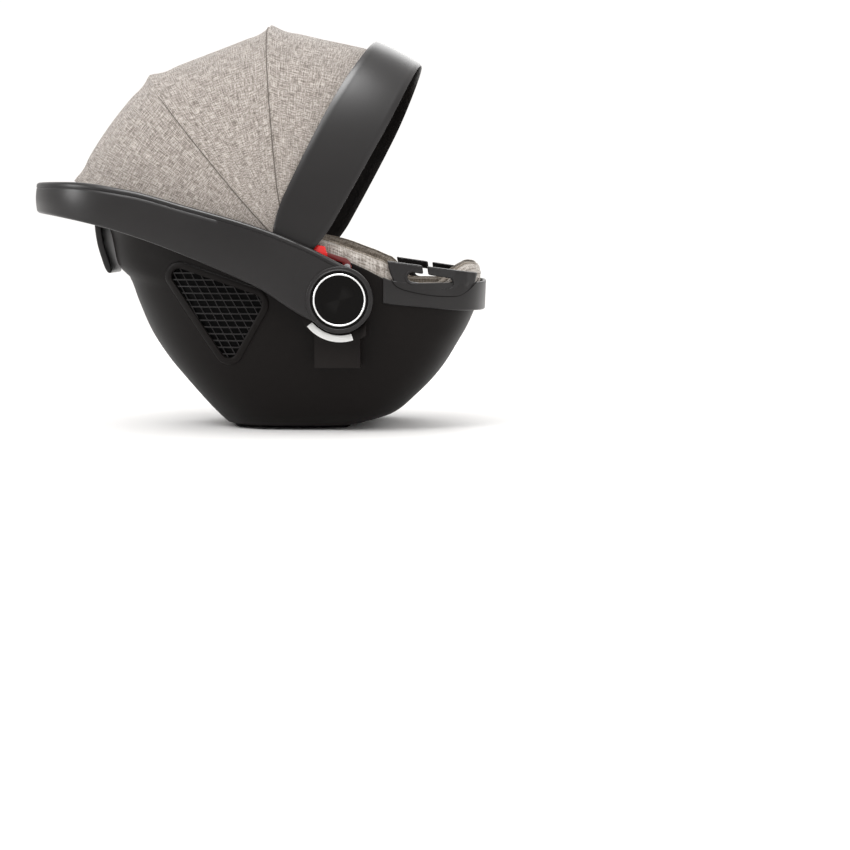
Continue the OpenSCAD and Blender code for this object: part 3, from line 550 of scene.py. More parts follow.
def form_point(h, angle, off):
    """A point of the shell's form in millimetres, offset outwards by off."""
    rear = HEAD_X * rear_line(h) - off
    front = FOOT_X * front_line(h) + off
    c, s = math.cos(angle), math.sin(angle)
    power = 2 / (FOOT_ROUND if c > 0 else REAR_ROUND)
    x = (rear + front) / 2 + (front - rear) / 2 * signed_power(c, power)
    y = (HALF_W * width_line(h) + off) * signed_power(s, power)
    low = BASE_Z - off
    return Vector((x, y, low + h * (rim_line(x) - low)))


def form_ring(h, off, count):
    """Evenly spaced points round the form, starting at the foot end."""
    dense = [form_point(h, 2 * math.pi * i / DENSE, off) for i in range(DENSE)]
    return even_ring(dense, count)


def side_y(x, z, off=0.0):
    """The shell's half width in millimetres at a place in its side view."""
    low = BASE_Z - off
    h = min(1.0, max(0.0, (z - low) / (rim_line(x) - low)))
    rear = HEAD_X * rear_line(h) - off
    front = FOOT_X * front_line(h) + off
    middle, half = (rear + front) / 2, (front - rear) / 2
    share = min(0.999, abs((x - middle) / half))
    power = FOOT_ROUND if x > middle else REAR_ROUND
    return (HALF_W * width_line(h) + off) * (1 - share ** power) ** (1 / power)


def make_shell():
    """Bucket with a rounded rim, open at the top, with both vents cut through its sides."""
    around, levels, wall = 168, 46, 3.0
    lip, past_shell = Vector((0, 0, 1.2)), 260.0
    rings = [form_ring((i / levels) ** 1.25, 0.0, around) for i in range(levels + 1)]
    top = form_ring(1.0, 0.0, around)
    for share in (0.3, 0.7):
        rings.append([p + lip - share * wall * outward(top, i) for i, p in enumerate(top)])
    for i in range(levels, -1, -2):
        rings.append(form_ring((i / levels) ** 1.25, -wall, around))
    sections = [[p * MM for p in ring] for ring in rings]
    shell = loft("bucket_shell", sections)
    cutter = loft("vent_cutter", [[Vector((x, y, z)) * MM for x, z in vent_outline(0.0, 64)]
                                  for y in (-past_shell, past_shell)])
    cut = shell.modifiers.new("vents", "BOOLEAN")
    cut.object = cutter
    cut.operation = "DIFFERENCE"
    cut.solver = "EXACT"
    apply_modifiers(shell)
    bpy.data.objects.remove(cutter)
    finish_piece(shell, "root", "shell_plastic", nodes=("shell",), crease=35)


def outward(ring, i):
    """The level direction out of a closed ring at its point i."""
    direction = ring[(i + 1) % len(ring)] - ring[i - 1]
    return Vector((direction.y, -direction.x, 0)).normalized()


# ------------------------------------------------------------------ vents
VENT_CORNERS = [(-HEAD_X * 0.399, RIM_HEAD * 0.64, 11.0), (-2.0, HUB.z / MM - 7, 14.0),
                (-34.0, HUB.z / MM - 68, 11.0)]


def vent_outline(grow, count):
    """Rounded triangle of the vent, grown by some millimetres, as evenly spaced (x, z)."""
    dense = []
    for i, corner in enumerate(VENT_CORNERS):
        cx, cz, r = corner
        start = tangent_angle(VENT_CORNERS[i - 1], corner)
        end = tangent_angle(corner, VENT_CORNERS[(i + 1) % 3])
        while end > start:
            end -= 2 * math.pi
        for k in range(41):
            a = start + (end - start) * k / 40
            dense.append(Vector((cx + (r + grow) * math.cos(a), cz + (r + grow) * math.sin(a))))
    return [(place.x, place.y) for place in even_ring(dense, count)]


def tangent_angle(a, b):
    """Direction from both circles' centres to their outer tangent line, walking clockwise."""
    dx, dz = b[0] - a[0], b[1] - a[1]
    distance = math.hypot(dx, dz)
    return math.atan2(dz, dx) + math.acos((a[2] - b[2]) / distance)


def make_vent(side, name):
    """Raised frame round the vent, with the grille behind it."""
    profile = [(0.3, -2.6), (0.3, 1.2), (0.9, 2.2), (2.2, 2.8), (5.0, 3.0), (7.6, 2.7),
               (9.0, 1.8), (9.6, 0.6), (9.8, -0.4), (10.0, -2.6)]
    count = 120
    rows = []
    outlines = [vent_outline(grow, count) for grow, height in profile]
    for i in range(count):
        section = []
        for (grow, height), outline in zip(profile, outlines):
            x, z = outline[i]
            section.append(Vector((x, side * (side_y(x, z) + height), z)) * MM)
        rows.append(section)
    finish_piece(loft("vent_frame_" + name, rows, closed=True), "root", "shell_plastic",
                 nodes=("vent_bezel_" + name,), crease=40)
    make_grille(side, name)


def clip_to_vent(origin, direction, outline):
    """Where a line crosses the convex vent outline, as two distances along it."""
    low, high = -1e9, 1e9
    count = len(outline)
    for i in range(count):
        ax, az = outline[i]
        bx, bz = outline[(i + 1) % count]
        nx, nz = bz - az, ax - bx
        gap = nx * (ax - origin[0]) + nz * (az - origin[1])
        rate = nx * direction[0] + nz * direction[1]
        if abs(rate) < 1e-9:
            if gap > 0:
                return None
            continue
        t = gap / rate
        if rate < 0:
            high = min(high, t)
        else:
            low = max(low, t)
    return (low, high) if high - low > 3 else None


def make_grille(side, name):
    """Level bars and slanting ribs inside the vent, cut to its outline."""
    outline = vent_outline(0.2, 60)
    slant, bar_pitch, rib_pitch = math.radians(-62), 9, 12.1
    bars = [((0.0, z), (1.0, 0.0), 1.7, 2.2) for z in range(96, 226, bar_pitch)]
    bars += [((-130 + rib_pitch * i, 210.0), (math.cos(slant), math.sin(slant)), 1.0, 1.6)
             for i in range(16)]
    vertices, faces = [], []
    for origin, direction, wide, deep in bars:
        span = clip_to_vent(origin, direction, outline)
        if span is None:
            continue
        across = (-direction[1], direction[0])
        steps = 10
        base = len(vertices)
        for i in range(steps + 1):
            t = span[0] + (span[1] - span[0]) * i / steps
            x, z = origin[0] + t * direction[0], origin[1] + t * direction[1]
            depth = side_y(x, z) - 0.9
            bar = ((-1, 0), (-0.6, 0.4), (0.6, 0.4), (1, 0), (1, -deep), (-1, -deep))
            for u, v in bar:
                vertices.append(Vector((x + u * wide / 2 * across[0], side * (depth + v),
                                        z + u * wide / 2 * across[1])) * MM)
        faces += skin(steps + 1, len(bar), base)
    grille = new_object("vent_bars_" + name, vertices, faces)
    finish_piece(grille, "root", "shell_plastic", MATERIALS["satin_plastic"],
                 nodes=("vent_grille_" + name,), crease=30)


# ------------------------------------------------------------------ carry handle
ARM_IN = 205.0
ARM_OUT = 219.0
BEND_X = -130.0
BACK_X = HANDLE_LOW.x / MM
BEND_ROUND = 2.6
HUB_R = 43.7
HUB_X, HUB_Z = HUB.x / MM, HUB.z / MM
handle_top = smooth_table([(BACK_X - 1, 334), (-240, 333), (-159, 322), (-89, 303), (12, 273.5),
                           (82, 245), (108, 231.5), (127, 221.6), (140, 214), (149, 208.5)])
handle_low = smooth_table([(BACK_X - 1, 295), (-260, 288), (-194, 274), (-139, 257), (-89, 238),
                           (-14, 206), (14, 192.5), (51, 168), (73, 155), (84, 150)])
crown_line = smooth_table([(HUB_X - 95, 1.1), (HUB_X - 62, 0.3), (HUB_X - 45, -1.3), (HUB_X - 40, -1.3)])


def handle_height(x):
    """Top and bottom of the handle over x, closing round the hub."""
    inside = HUB_R ** 2 - (x - HUB_X) ** 2
    arc = math.sqrt(inside) if inside > 0 else 0.0
    top = handle_top(x) if x < HUB_X + 12 else HUB_Z + arc
    low = handle_low(x) if x < HUB_X - 33 else HUB_Z - arc
    if HUB_X < x < HUB_X + 30:
        top = max(min(handle_top(x), HUB_Z + arc + 4), HUB_Z + arc)
    return top, min(low, top - 0.4)


def handle_plan():
    """(x, y) places along the handle's middle line, from hub to hub."""
    hub_steps, arm_steps, bend_steps = 24, 80, 110
    hub_run = 26
    middle = (ARM_IN + ARM_OUT) / 2
    reach = BEND_X - BACK_X - (ARM_OUT - ARM_IN) / 2
    end = HUB_X + HUB_R - 0.15
    side = [Vector((end - hub_run * (i / hub_steps) ** 2, middle)) for i in range(hub_steps + 1)]
    start = side[-1].x
    side += [Vector((start + (BEND_X - start) * i / arm_steps, middle))
             for i in range(1, arm_steps)]
    bend = []
    for i in range(bend_steps + 1):
        a = math.pi / 2 - math.pi * i / bend_steps
        bend.append(Vector((BEND_X - reach * abs(math.cos(a)) ** (2 / BEND_ROUND),
                            middle * signed_power(math.sin(a), 2 / BEND_ROUND))))
    return side + bend + [Vector((p.x, -p.y)) for p in reversed(side)]


def handle_section(half, top, low, crown):
    """(outward, z) outline of the bar: rounded edges, groove near its top, crowned face."""
    face = half + min(0.0, crown)
    height = top - low
    r = min(4.5, height * 0.3)
    points = []

    def arc(cx, cz, radius, start, end, steps=6):
        for i in range(steps + 1):
            a = math.radians(start + (end - start) * i / steps)
            points.append((cx + radius * math.cos(a), cz + radius * math.sin(a)))

    small = min(2.5, height * 0.2)
    arc(-half + small, low + small, small, 270, 180, 4)
    arc(-half + small, top - small, small, 180, 90, 4)
    arc(face - r, top - r, r, 90, 0)
    groove = min(6.4, height * 0.3)
    points += [(face, top - groove), (face - 0.55, top - groove - 0.45),
               (face - 0.55, top - groove - 1.0), (face + 0.1, top - groove - 1.5)]
    for i in range(1, 12):
        t = i / 12
        z = top - groove - 1.5 + (low + r - top + groove + 1.5) * t
        points.append((face + 0.1 + max(0.0, crown) * math.sin(math.pi * t), z))
    arc(face - r, low + r, r, 0, -90)
    return points


def make_handle():
    """One bar bent round behind the head, with a cover along its inner side, and its hubs."""
    plan = handle_plan()
    half = (ARM_OUT - ARM_IN) / 2
    inset, back = 5.0, -half - 0.7
    bar, cover = [], []
    for i, place in enumerate(plan):
        run = run_at(plan, i).normalized()
        normal = Vector((run.y, -run.x))
        if normal.dot(Vector((place.x - BEND_X if place.x < BEND_X else 0, place.y))) < 0:
            normal = -normal
        top, low = handle_height(place.x)

        def section(outline):
            return [Vector((place.x + u * normal.x, place.y + u * normal.y, z)) * MM
                    for u, z in outline]

        bar.append(section(handle_section(half, top, low, crown_line(place.x))))
        if place.x < HUB_X - HUB_R - 6:
            cover.append(section(((back, low + inset + 1), (back, top - inset - 1),
                                  (back + 0.6, top - inset), (1 - half, top - inset),
                                  (1 - half, low + inset), (back + 0.6, low + inset))))
    finish_piece(loft("carry_handle", bar), "handle", "satin_plastic",
                 nodes=("handle_outer",), crease=50)
    finish_piece(loft("handle_inner_cover", cover), "handle", "satin_plastic",
                 nodes=("handle_cover",), crease=40)
    for side, name in SIDES:
        make_hub(side, name)


def make_hub(side, name):
    """Rim, groove darkened with painted shade, base, bright ring and press button, turned about the hub's axis."""
    face = ARM_OUT
    turned = (
        ("hub_rim_", "handle", "satin_plastic", None, 60,
         ((38.0, face - 4), (38.0, face + 0.9), (38.2, face + 1.5), (38.7, face + 1.8),
          (39.2, face + 1.6), (39.8, face + 1.1), (41.0, face + 0.9), (42.3, face + 1.0),
          (42.9, face + 1.2), (43.4, face + 0.8), (43.75, face - 0.2), (43.6, face - 6))),
        # The recessed groove takes the near-black button plastic: painted shade in the recess.
        ("hub_shaded_groove_", "handle", "button_plastic", None, 50,
         ((35.0, face - 5), (35.0, face - 0.4), (35.4, face), (37.5, face - 0.3),
          (37.9, face - 1.2), (37.9, face - 5))),
        ("hub_base_", "handle", "satin_plastic", None, 40,
         ((6.2, 203.6), (6.2, 207.0), (35.4, 207.0), (35.4, face - 1.5), (43.2, face - 1.5),
          (43.7, face - 2.4), (43.7, 204.4), (43.0, 203.6))),
        ("hub_bright_ring_", "handle", "bright_trim", "hub_ring_", 50,
         ((32.25, face - 6), (32.25, face + 1.1), (32.6, face + 1.6), (33.4, face + 1.85),
          (34.2, face + 1.6), (34.6, face + 1.0), (34.6, face - 6))),
        ("hub_press_button_", "button_" + name, "button_plastic", "hub_button_", 50,
         ((0.01, face + 0.1), (12, face + 0.15), (24, face + 0.35), (29.5, face + 0.6),
          (31.2, face + 0.5), (31.8, face), (32.0, face - 0.8), (32.0, face - 6),
          (28.5, face - 6), (28.5, face - 3), (0.01, face - 3))),
    )
    for word, body, slot, node, crease, profile in turned:
        finish_piece(lathe(word + name, HUB, side, profile), body, slot,
                     nodes=(node + name,) if node else (), crease=crease)


# ------------------------------------------------------------------ canopy
REACH = 306.0
ARCH = 2.5
BOW_OUT = BOW_HIGH.y / MM
BOW_T = 3.5
FRONT, MID, REAR, HEM = 62.0, 96.0, 130.0, 163.0
CLOTH_HALF, CLOTH_REACH, CLOTH_T = 192.5, 306, 1.4
HEM_REACH = 318
# Metres over the arch from pivot to pivot, and the gores' mean distance from the axis
CLOTH_ARC, CLOTH_MEAN = 0.86, 0.29


def arch(angle, reach, width):
    """(distance from the axis, y) on the canopy's arch, 0 at the near side."""
    return (reach * math.sin(angle) ** (2 / ARCH) if 0 < angle < math.pi else 0.0,
            -width * signed_power(math.cos(angle), 2 / ARCH))


def arch_angles(reach, width, count, first=0.0):
    """Angles that space the arch evenly."""
    steps = 1200
    dense = [arch(math.pi * i / steps, reach, width) for i in range(steps + 1)]
    lengths = [0.0]
    for a, b in zip(dense, dense[1:]):
        lengths.append(lengths[-1] + math.dist(a, b))
    span = lengths[-1] - 2 * first
    wants = [first + span * i / count for i in range(count + 1)]
    return [math.pi * (k + t) / steps for k, t in evenly(lengths, wants)]


def on_canopy(r, y, degrees, sideways=0.0):
    """A place r from the canopy axis at an angle above the foot direction, in metres."""
    a = math.radians(degrees)
    return Vector((PIVOT.x + (r * math.cos(a) - sideways * math.sin(a)) * MM, y * MM,
                   PIVOT.z + (r * math.sin(a) + sideways * math.cos(a)) * MM))


bow_back = smooth_table([(-16, 3), (-14, 9), (0, 20), (24, 30), (60, 36), (200, 40), (306, 35)])
bow_front = smooth_table([(-16, 3), (-14, 11), (0, 22), (24, 33), (60, 38), (200, 40), (306, 35)])


def make_front_bow():
    """Wide band with a lip along each edge, and straight ends that run on below the pivots."""
    angles = arch_angles(REACH, BOW_OUT, 200)
    centres = [(-15.8 + 15.8 * i / 8, -BOW_OUT, (0.0, -1.0)) for i in range(8)]
    for a in angles:
        r, y = arch(a, REACH, BOW_OUT)
        before = arch(max(a - 0.01, 1e-4), REACH, BOW_OUT)
        after = arch(min(a + 0.01, math.pi - 1e-4), REACH, BOW_OUT)
        length = math.dist(before, after)
        tangent = ((after[0] - before[0]) / length, (after[1] - before[1]) / length)
        centres.append((r, y, (tangent[1], -tangent[0])))
    centres += [(r, -y, (0.0, 1.0)) for r, y, _ in reversed(centres[:8])]
    sections = []
    rounding, steps = 1.3, 18
    for r, y, (nr, ny) in centres:
        back, front = bow_back(r), bow_front(r)
        section = []
        for layer in (0, 1):
            for k in range(steps + 1):
                t = k / steps if layer == 0 else 1 - k / steps
                side = back - (back + front) * t
                edge = min(t, 1 - t) * (back + front)
                crown = -1.6 * (2 * t - 1) ** 2
                lip = 0.5 * math.exp(-((edge - 3.0) / 1.2) ** 2)
                fall = rounding * max(0.0, 1 - edge / 2.2) ** 2
                depth = crown + lip - fall if layer == 0 else crown - BOW_T + fall
                section.append(on_canopy(r + nr * depth, y + ny * depth, FRONT, side))
        sections.append(section)
    finish_piece(loft("canopy_front_band", sections), "front_bow", "satin_plastic",
                 nodes=("canopy_front_bow",), crease=55)


def gore(name, low, high, reach_low, reach_high, sag, node, seed):
    """One gore of the canopy between two bows, with its weave laid across it."""
    rows, cols = 34, 150
    angles = arch_angles(CLOTH_REACH, CLOTH_HALF, cols, 12.0)
    outer, inner, weave = [], [], []
    for i in range(rows + 1):
        t = i / rows
        degrees = low + (high - low) * t
        reach = reach_low + (reach_high - reach_low) * t - 4 * sag * t * (1 - t)
        for k, a in enumerate(angles):
            near = min(t, 1 - t) * abs(high - low)
            pull = 3.4 * math.exp(-(near / 1.5) ** 2) - 1.2 * math.exp(-((near - 4.2) / 1.8) ** 2)
            hold, half = reach + pull * math.sin(a), CLOTH_HALF - 6 * t * (1 - t)
            r, y = arch(a, hold, half)
            place = on_canopy(r, y, degrees)
            wave = noise.noise(Vector((place.x * 9, place.y * 9, place.z * 9 + seed)))
            fold = noise.noise(Vector((t * 1.1 + seed, k / cols * 19, seed * 1.7)))
            crease = noise.noise(Vector((t * 0.8 + seed, k / cols * 52, seed * 2.9)))
            middle = math.sin(math.pi * t) ** 0.6
            bulge = (1.4 * wave + 3.0 * fold + 1.1 * crease) * middle * min(1.0, r / 120)
            outer.append(on_canopy(*arch(a, hold + bulge, half), degrees))
            inner.append(on_canopy(*arch(a, hold + bulge - CLOTH_T, half - CLOTH_T), degrees))
            weave.append((k / cols * CLOTH_ARC, (degrees - low) * 0.0052 + seed))
    count, n = len(outer), cols + 1
    faces = []
    for i in range(rows):
        for k in range(cols):
            p = i * n + k
            faces.append((p, p + 1, p + n + 1, p + n))
            faces.append((count + p, count + p + n, count + p + n + 1, count + p + 1))
    for k in range(cols):
        q = rows * n + k
        faces.append((k, count + k, count + k + 1, k + 1))
        faces.append((q, q + 1, count + q + 1, count + q))
    for i in range(rows):
        p, e = i * n, i * n + cols
        faces.append((p, p + n, count + p + n, count + p))
        faces.append((e, count + e, count + e + n, e + n))
    obj = new_object(name, outer + inner, faces)
    lay_weave(obj, lambda index: weave[index % count])
    for face in obj.data.polygons:
        face.use_smooth = True
    obj.data.set_sharp_from_angle(angle=math.radians(50))
    obj.data.materials.append(MATERIALS["canopy_fabric"])
    half = math.radians(abs(high - low) / 2)
    middle = (low + high) / 2
    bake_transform(obj)
    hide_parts(node)


def make_seam(name, degrees, reach, body, offset):
    """Dark stitched seam that lies on the canopy beside a bow."""
    width, path = CLOTH_HALF + 0.1, []
    for a in arch_angles(CLOTH_REACH, width, 110, 14.0):
        r, y = arch(a, reach + 1.0 * math.sin(a), width)
        path.append(on_canopy(r, y, degrees, offset * min(1.0, r / 90)))
    finish_piece(tube(name, path, 0.7 * MM, 6), body, "canopy_fabric", SEAM)


def make_hem_skirt():
    """The rear gore's lower edge, drawn down over the outside of the rim with a sewn hem."""
    angles = arch_angles(CLOTH_REACH, CLOTH_HALF, 150, 14.0)
    profile = [(0.0, 0.0, 0.0), (1.2, 0.6, -0.3), (2.6, 1.6, -1.2), (3.6, 2.8, -2.2),
               (3.9, 2.4, -2.0), (4.0, 3.6, -3.2), (4.6, 4.6, -4.0), (4.7, 6.0, -5.2)]
    rows = []
    for a in angles:
        grow = min(1.0, 2.0 * math.sin(a))
        outer = [on_canopy(*arch(a, HEM_REACH - pull * grow, CLOTH_HALF + tuck * 0.8), HEM + drop)
                 for drop, pull, tuck in profile]
        inner = [on_canopy(*arch(a, HEM_REACH - 1.5 - pull * grow,
                                 CLOTH_HALF + tuck * 0.8 - CLOTH_T), HEM + drop)
                 for drop, pull, tuck in reversed(profile)]
        rows.append(outer + inner)
    skirt = loft("canopy_rear_hem", rows)
    width = 2 * len(profile)
    lay_weave(skirt, lambda index: (index // width / len(rows) * CLOTH_ARC,
                                    index % width * 0.004 + 7.0))
    finish_piece(skirt, "root", "canopy_fabric", crease=60)


def make_canopy():
    """The front band, three gores between the bows, the sewn hem and the seams."""
    make_front_bow()
    make_hem_skirt()
    gore("canopy_rear_gore", HEM, REAR, HEM_REACH, 309, 6, "canopy_rear_panel",
         1.3)
    gore("canopy_middle_gore", REAR, MID, 309, 305, 15, "canopy_middle_panel",
         2.7)
    gore("canopy_front_gore", MID, FRONT, 305, 298, 13, "canopy_front_panel",
         4.1)
    make_seam("canopy_rear_seam", REAR, 309, "rear_bow", 4.0)
    make_seam("canopy_middle_seam", MID, 305, "middle_bow", 4.0)


# ------------------------------------------------------------------ rim, cover and pads
def make_foot_rim():
    """Moulding round the foot end, from one hub to the other."""
    rim_start = 170
    path = [p for p in form_ring(1.0, 0.0, 400) if p.x > rim_start]
    path.sort(key=lambda p: math.atan2(p.y, p.x - rim_start))
    lower = smooth_table([(170, 174), (186, 171.5), (235, 167), (268, 163.5), (306, 162)])
    sections = []
    for i, p in enumerate(path):
        direction = run_at(path, i)
        normal = Vector((direction.y, -direction.x, 0)).normalized()
        top, low = p.z + 2.5, lower(p.x)
        middle, height = (top + low) / 2, top - low
        section = []
        for u, v in rounded_section(5.0, height, 1.9):
            lean = (v / height - 0.5) * 1.5
            place = p + normal * (1.2 + u + lean)
            section.append(Vector((place.x, place.y, middle + v)) * MM)
        sections.append(section)
    finish_piece(loft("foot_end_rim", sections), "root", "satin_plastic",
                 nodes=("foot_rim",), crease=50)


# How far inside the rim the cover's lip starts, and its two faces lie, in millimetres
LIP_OFF, COVER_OUT, COVER_IN = -4.2, -14.5, -27.0
ADJUSTER_CLEAR = 12


def quilting(place, normal_y):
    """Depth of the sewn channels in the cover's inner side, from 0 at a seam to 1 between."""
    rows = abs(math.sin((place.z - 36) * math.pi / 50)) ** 0.45
    columns = abs(math.sin((place.x + 12) * math.pi / 74)) ** 0.45
    return rows * (columns * abs(normal_y) + 1 - abs(normal_y))


def make_cover():
    """Padded cover: light outer lip over the rim, darker quilted inside, closed underneath."""
    around = 260
    rise = smooth_table([(-250, 16), (40, 16), (87, 17.5), (129, 19.5), (168, 24), (177, 25),
                         (186, 17), (196, 6), (204, 1.5), (256, 1.5), (264, 6), (276, 20),
                         (290, 27), (306, 24)])
    top = form_ring(1.0, LIP_OFF, around)
    rings = [form_ring(h, COVER_OUT, around)
             for h in (0.03, 0.1, 0.2, 0.35, 0.5, 0.65, 0.8, 0.9)]
    rings += [form_ring(h, off, around) for h, off in ((0.93, -9.0), (0.96, -5.0), (1.0, LIP_OFF))]
    lip_start = len(rings)
    for share, off in ((0.25, 0.3), (0.5, 0.7), (0.8, -0.8), (0.93, -3.0), (1.0, -7.5),
                       (0.98, -12.5), (0.85, -17.0), (0.5, -20.5), (0.1, -22.0)):
        ring = form_ring(1.0, LIP_OFF + off, around)
        rings.append([Vector((p.x, p.y, q.z + rise(q.x) * share)) for p, q in zip(ring, top)])
    piping_row = lip_start + 4
    inside_start = len(rings)
    count = 44
    for i in range(count + 1):
        rings.append(form_ring(1.0 - 0.97 * (i / count) ** 0.9, COVER_IN, around))
    edge, middle = rings[-1], 35
    for share in (0.92, 0.8, 0.66, 0.52, 0.38, 0.24, 0.1):
        rings.append([Vector((middle + (p.x - middle) * share, p.y * share,
                              p.z + (edge[0].z - p.z) * (1 - share))) for p in edge])
    rows = []
    adjuster_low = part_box("adjuster_housing")[0] / MM
    for index, ring in enumerate(rings):
        row = []
        for i, p in enumerate(ring):
            normal = outward(ring, i)
            place = p.copy()
            wave = noise.noise(Vector((p.x, p.y, p.z)) * 0.018)
            if inside_start <= index <= inside_start + count:
                fade = min(1.0, (index - inside_start) / 4)
                place -= normal * fade * (4.2 * quilting(p, normal.y) + 1.2 * wave - 1.0)
            elif index > inside_start + count:
                flat = (p.x > adjuster_low.x - ADJUSTER_CLEAR
                        and abs(p.y) < ADJUSTER_CLEAR - adjuster_low.y)
                channel = 2.5 * abs(math.sin((p.x + 12) * math.pi / 42)) ** 0.5
                place.z += -1.5 if flat else channel
            elif index >= lip_start:
                place += normal * 0.8 * wave
                place.z += 1.2 * wave
            row.append(place * MM)
        rows.append(row)
    cover = loft("padded_seat_cover", rows)
    layer = cover.data.uv_layers.new(name="weave")
    down = [0.0]
    for i in range(1, len(rows)):
        down.append(down[-1] + (rows[i][around // 4] - rows[i - 1][around // 4]).length)
    for face in cover.data.polygons:
        column = face.index % around
        for corner in face.loop_indices:
            i, k = divmod(cover.data.loops[corner].vertex_index, around)
            if face.index // around >= inside_start + count:
                layer.data[corner].uv = (rows[i][k].y, rows[i][k].x)
            else:
                turn = around if column == around - 1 and k == 0 else k
                layer.data[corner].uv = (turn / around * 1.5, down[i])
    cover.data.materials.append(MATERIALS["cover_fabric"])
    cover.data.materials.append(MATERIALS["pad_fabric"])
    for face in cover.data.polygons:
        face.material_index = 1 if face.index // around >= piping_row else 0
    finish_piece(cover, "root", "cover_fabric", nodes=("seat_cover",))
    piping = tube("cover_edge_piping", [p + Vector((0, 0, 0.4 * MM)) for p in rows[piping_row]],
                  1.5 * MM, 8, closed=True)
    finish_piece(piping, "root", "cover_fabric", MATERIALS["pad_fabric"])
    stitch_row = [p + Vector((0, 0, 0.3 * MM)) for p in rows[lip_start + 1]]
    make_stitches("cover_lip_stitches", stitch_row, "root")


def make_stitches(name, path, body):
    """Short raised threads along a closed path."""
    dash, gap, radius = 3.2, 1.8, 0.38
    vertices, faces = [], []
    count = len(path)
    walked, sides = 0.0, 5
    for i in range(count):
        a, b = path[i], path[(i + 1) % count]
        length = (b - a).length
        direction = (b - a).normalized()
        side, up = cord_frame(direction)
        while walked < length:
            start = a + direction * walked
            base = len(vertices)
            for share, thick in ((0.0, 0.25), (0.25, 1.0), (0.75, 1.0), (1.0, 0.25)):
                centre = start + direction * dash * share * MM
                for k in range(sides):
                    turn = 2 * math.pi * k / sides
                    vertices.append(centre + radius * thick * MM
                                    * (math.cos(turn) * side + math.sin(turn) * up))
            faces += skin(4, sides, base)
            walked += (dash + gap) * MM
        walked -= length
    finish_piece(new_object(name, vertices, faces), body, "cover_fabric", SEAM)


def blown(obj, voxel, cap):
    """Blows a closed form up as cloth after a voxel remesh, with each point's motion capped."""
    voxels(obj, voxel)
    apply_modifiers(obj)
    start = [v.co.copy() for v in obj.data.vertices]
    cloth = obj.modifiers.new("cloth", "CLOTH")
    cloth.settings.use_pressure = True
    cloth.settings.uniform_pressure_force = 4
    cloth.settings.effector_weights.gravity = 0
    cloth.settings.quality = 5
    cloth.point_cache.frame_start = 1
    cloth.point_cache.frame_end = 20
    for step in range(1, 21):
        bpy.context.scene.frame_set(step)
    apply_modifiers(obj)
    bpy.context.scene.frame_set(1)
    for vertex, before in zip(obj.data.vertices, start):
        move = vertex.co - before
        if move.length > cap:
            vertex.co = before + move * (cap / move.length)
    obj.modifiers.new("smooth", "SMOOTH").iterations = 3
    obj.modifiers.new("fine", "SUBSURF").levels = 1
    apply_modifiers(obj)


def puffed(obj, node, voxel, cap, channels=None):
    """Blows up a pad of the seat that stands for a CAD node, and sinks its sewn channels."""
    blown(obj, voxel, cap)
    if channels:
        normals = [v.normal.copy() for v in obj.data.vertices]
        for vertex, normal in zip(obj.data.vertices, normals):
            vertex.co -= normal * channels(vertex.co / MM) * MM
    finish_piece(obj, "root", "pad_fabric", nodes=(node,))


# Values of the harness, as in the CAD source
STRAP_Y, STRAP_LIFT, SEAT_Z = 36.0, 15.0, BASE_Z + 30.0
BUCKLE, BUCKLE_LEAN = Vector((40.0, SEAT_Z + 27.0)), math.radians(25)
TONGUE_END, TONGUE_Y = 33.0, 17.0


def back_point(h, lift):
    """A point (x, z) at share h of the rim's height, lifted off the padded back."""
    x = HEAD_X * rear_line(h) + 30.0
    return Vector((x + lift * 0.8, SEAT_Z + h * (rim_line(x) - SEAT_Z) + lift * 0.6))


def buckle_point(along):
    """A point (x, z) on the buckle's middle line."""
    return BUCKLE + along * Vector((math.cos(BUCKLE_LEAN), math.sin(BUCKLE_LEAN)))


def smooth_path(points, steps=10):
    """Catmull-Rom curve through points of any size."""
    path = []
    last = len(points) - 1
    for i in range(last):
        a, b, c, d = (points[max(i - 1, 0)], points[i], points[i + 1], points[min(i + 2, last)])
        for k in range(steps):
            t = k / steps
            path.append(0.5 * ((2 * b) + (c - a) * t + (2 * a - 5 * b + 4 * c - d) * t ** 2
                               + (3 * b - a - 3 * c + d) * t ** 3))
    path.append(points[last].copy())
    return path


def band(name, stations, thickness, outline):
    """Lofts an outline of (across, lift) shares along stations of (x, z, middle y, half width)."""
    rows = []
    for i, (x, z, middle, half) in enumerate(stations):
        before, after = stations[max(i - 1, 0)], stations[min(i + 1, len(stations) - 1)]
        run, climb = after[0] - before[0], after[1] - before[1]
        length = math.hypot(run, climb)
        up = Vector((-climb / length, 0, run / length))
        rows.append([(Vector((x, middle + u * half, z)) + up * v * thickness / 2) * MM
                     for u, v in outline])
    return loft(name, rows)


def make_webbing(name, node, points, thickness):
    """A woven strap with thick selvedges, from (x, z, middle y, half width) points."""
    outline = [(-1.0, -0.4), (-0.97, -1.0), (-0.88, -1.0), (-0.84, -0.7), (0.84, -0.7),
               (0.88, -1.0), (0.97, -1.0), (1.0, -0.4), (1.0, 0.4), (0.97, 1.0), (0.88, 1.0),
               (0.84, 0.7), (-0.84, 0.7), (-0.88, 1.0), (-0.97, 1.0), (-1.0, 0.4)]
    path = smooth_path([Vector(p) for p in points])
    strap = band(name, path, thickness, outline)
    width = len(outline)
    lay_weave(strap, lambda index: (index // width * 0.0022, outline[index % width][0]
                                    * path[index // width][3] * MM))
    finish_piece(strap, "root", "webbing", nodes=(node,), crease=50)


